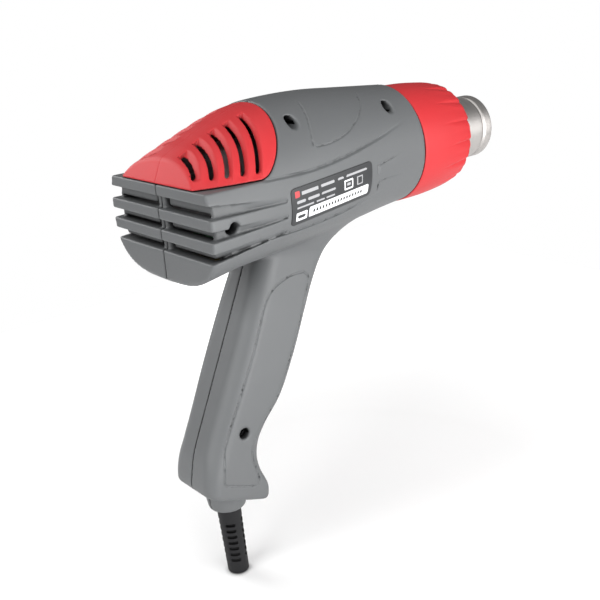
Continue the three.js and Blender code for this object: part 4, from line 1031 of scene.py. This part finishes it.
LABEL_INKS = [
    material("label_grey_ink", (0.34, 0.34, 0.35), 0.5, grain=1200, mottle=0.06),
    material("label_white_ink", (0.78, 0.79, 0.80), 0.5, grain=1200, mottle=0.04),
    material("label_red_ink", (0.45, 0.04, 0.045), 0.45, grain=1200, mottle=0.06),
]


def finish(piece, body, slot, *replaced):
    """Gives a new piece the material of its slot and its body, and hides the nodes that it stands for"""
    piece.data.materials.append(FINISHES[slot])
    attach(piece, body)
    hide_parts(*replaced)
    return piece


# ------------------------------------------------------------------ the gun
for half, side, near_y, far_y in ((-1, "right", -43, 1), (1, "left", -1, 43)):
    shell = moulded(f"{side}_housing_shell", housing_field(half), (-1, near_y, -165), (154, far_y, 36),
                    1.0, fine_housing, 2, housing_field(half, False))
    finish(shell, "housing", "housing_plastic", f"housing_{side}")
finish(moulded("slotted_intake_cover", cover_field, (-1, -42, 4), (56, 42, 36), 0.45),
       "housing", "red_plastic", "intake_cover")
finish(collar(), "housing", "red_plastic", "nose_collar")
finish(nozzle(), "housing", "nozzle_steel", "nozzle_tube")
finish(cord_boot(), "housing", "boot_rubber", "cord_boot")
finish(switch_frame(), "housing", "black_plastic", "switch_body")
finish(rocker(), "rocker", "black_plastic", "switch_rocker")
for number in range(len(SCREWS)):
    finish(housing_screw(number), "housing", "dark_steel", f"housing_screw_{number + 1}")
plate = finish(label(), "housing", "label_film", "rating_label")
for ink in LABEL_INKS:
    plate.data.materials.append(ink)

for part in frame["record"]["subparts"]:
    node = frame["nodes"][part["node"]]
    if not node.hide_render:
        node.data.materials.clear()
        node.data.materials.append(FINISHES[part["material_slot"]])


# ------------------------------------------------------------------ camera, floor and light
def look_from(at, right, up, back):
    turn = Matrix((right, up, back)).transposed()
    return Matrix.LocRotScale(Vector(place(at)), turn.to_quaternion(), None)


camera_data = bpy.data.cameras.new("camera")
camera_data.lens = LENS
camera_data.sensor_width = 36
camera_data.clip_start, camera_data.clip_end = 0.01, 60
camera = bpy.data.objects.new("camera", camera_data)
camera.matrix_world = look_from(CAMERA_AT, CAMERA_RIGHT, CAMERA_UP, CAMERA_BACK)
bpy.context.scene.collection.objects.link(camera)
bpy.context.scene.camera = camera


def softbox(name, at, aim, size, power):
    """Square area light, places in gun millimetres"""
    data = bpy.data.lights.new(name, "AREA")
    data.size, data.energy = size, power
    lamp = bpy.data.objects.new(name, data)
    lamp.location = place(at)
    lamp.rotation_mode = "QUATERNION"
    lamp.rotation_quaternion = Vector(place(aim) - place(at)).to_track_quat("-Z", "Y")
    bpy.context.scene.collection.objects.link(lamp)


MIDDLE = (90, 0, -30)
softbox("side_softbox", (90, -1200, -130), MIDDLE, 0.8, 15.5)
softbox("side_front_softbox", (690, -1040, 75), MIDDLE, 0.8, 8.5)
softbox("left_softbox", (-260, 1060, 390), MIDDLE, 0.8, 8)
softbox("rear_softbox", (-1010, -150, 400), MIDDLE, 0.8, 11)
softbox("high_softbox", (-330, -730, 820), MIDDLE, 0.8, 5)
softbox("top_softbox", (90, 0, 1170), MIDDLE, 0.8, 3.5)

FLOOR = 0.45                     # half width in metres
floor_data = bpy.data.meshes.new("floor")
floor_corners = [(-FLOOR, -FLOOR, 0), (FLOOR, -FLOOR, 0), (FLOOR, FLOOR, 0), (-FLOOR, FLOOR, 0)]
floor_data.from_pydata(floor_corners, [], [(0, 1, 2, 3)])
floor = bpy.data.objects.new("floor", floor_data)
floor.location.z = -0.0005
pale = material("pale_floor", (0.9, 0.9, 0.9), 0.8, grain=12, mottle=0.01, bump=0.02)
glow = pale.node_tree.nodes["Principled BSDF"].inputs
glow["Emission Color"].default_value = (1, 1, 1, 1)
position = pale.node_tree.nodes.new("ShaderNodeTexCoord").outputs["Object"]
away = pale.node_tree.nodes.new("ShaderNodeVectorMath")
away.operation = "LENGTH"
pale.node_tree.links.new(position, away.inputs[0])
edge_glow = linked(pale.node_tree, "ShaderNodeMapRange", Value=away.outputs["Value"],
                   From_Min=0.12, From_Max=0.5, To_Min=0.08, To_Max=0.6)
pale.node_tree.links.new(edge_glow.outputs[0], glow["Emission Strength"])
floor.data.materials.append(pale)
bpy.context.scene.collection.objects.link(floor)

world = bpy.data.worlds.new("studio")
world.use_nodes = True
sky = world.node_tree
seen = sky.nodes.new("ShaderNodeLightPath").outputs["Is Camera Ray"]
strength = linked(sky, "ShaderNodeMapRange", Value=seen, To_Min=0.12, To_Max=1.0).outputs[0]
sky.nodes["Background"].inputs["Color"].default_value = (1, 1, 1, 1)
sky.links.new(strength, sky.nodes["Background"].inputs["Strength"])
bpy.context.scene.world = world
bpy.context.scene.view_settings.view_transform = "Standard"
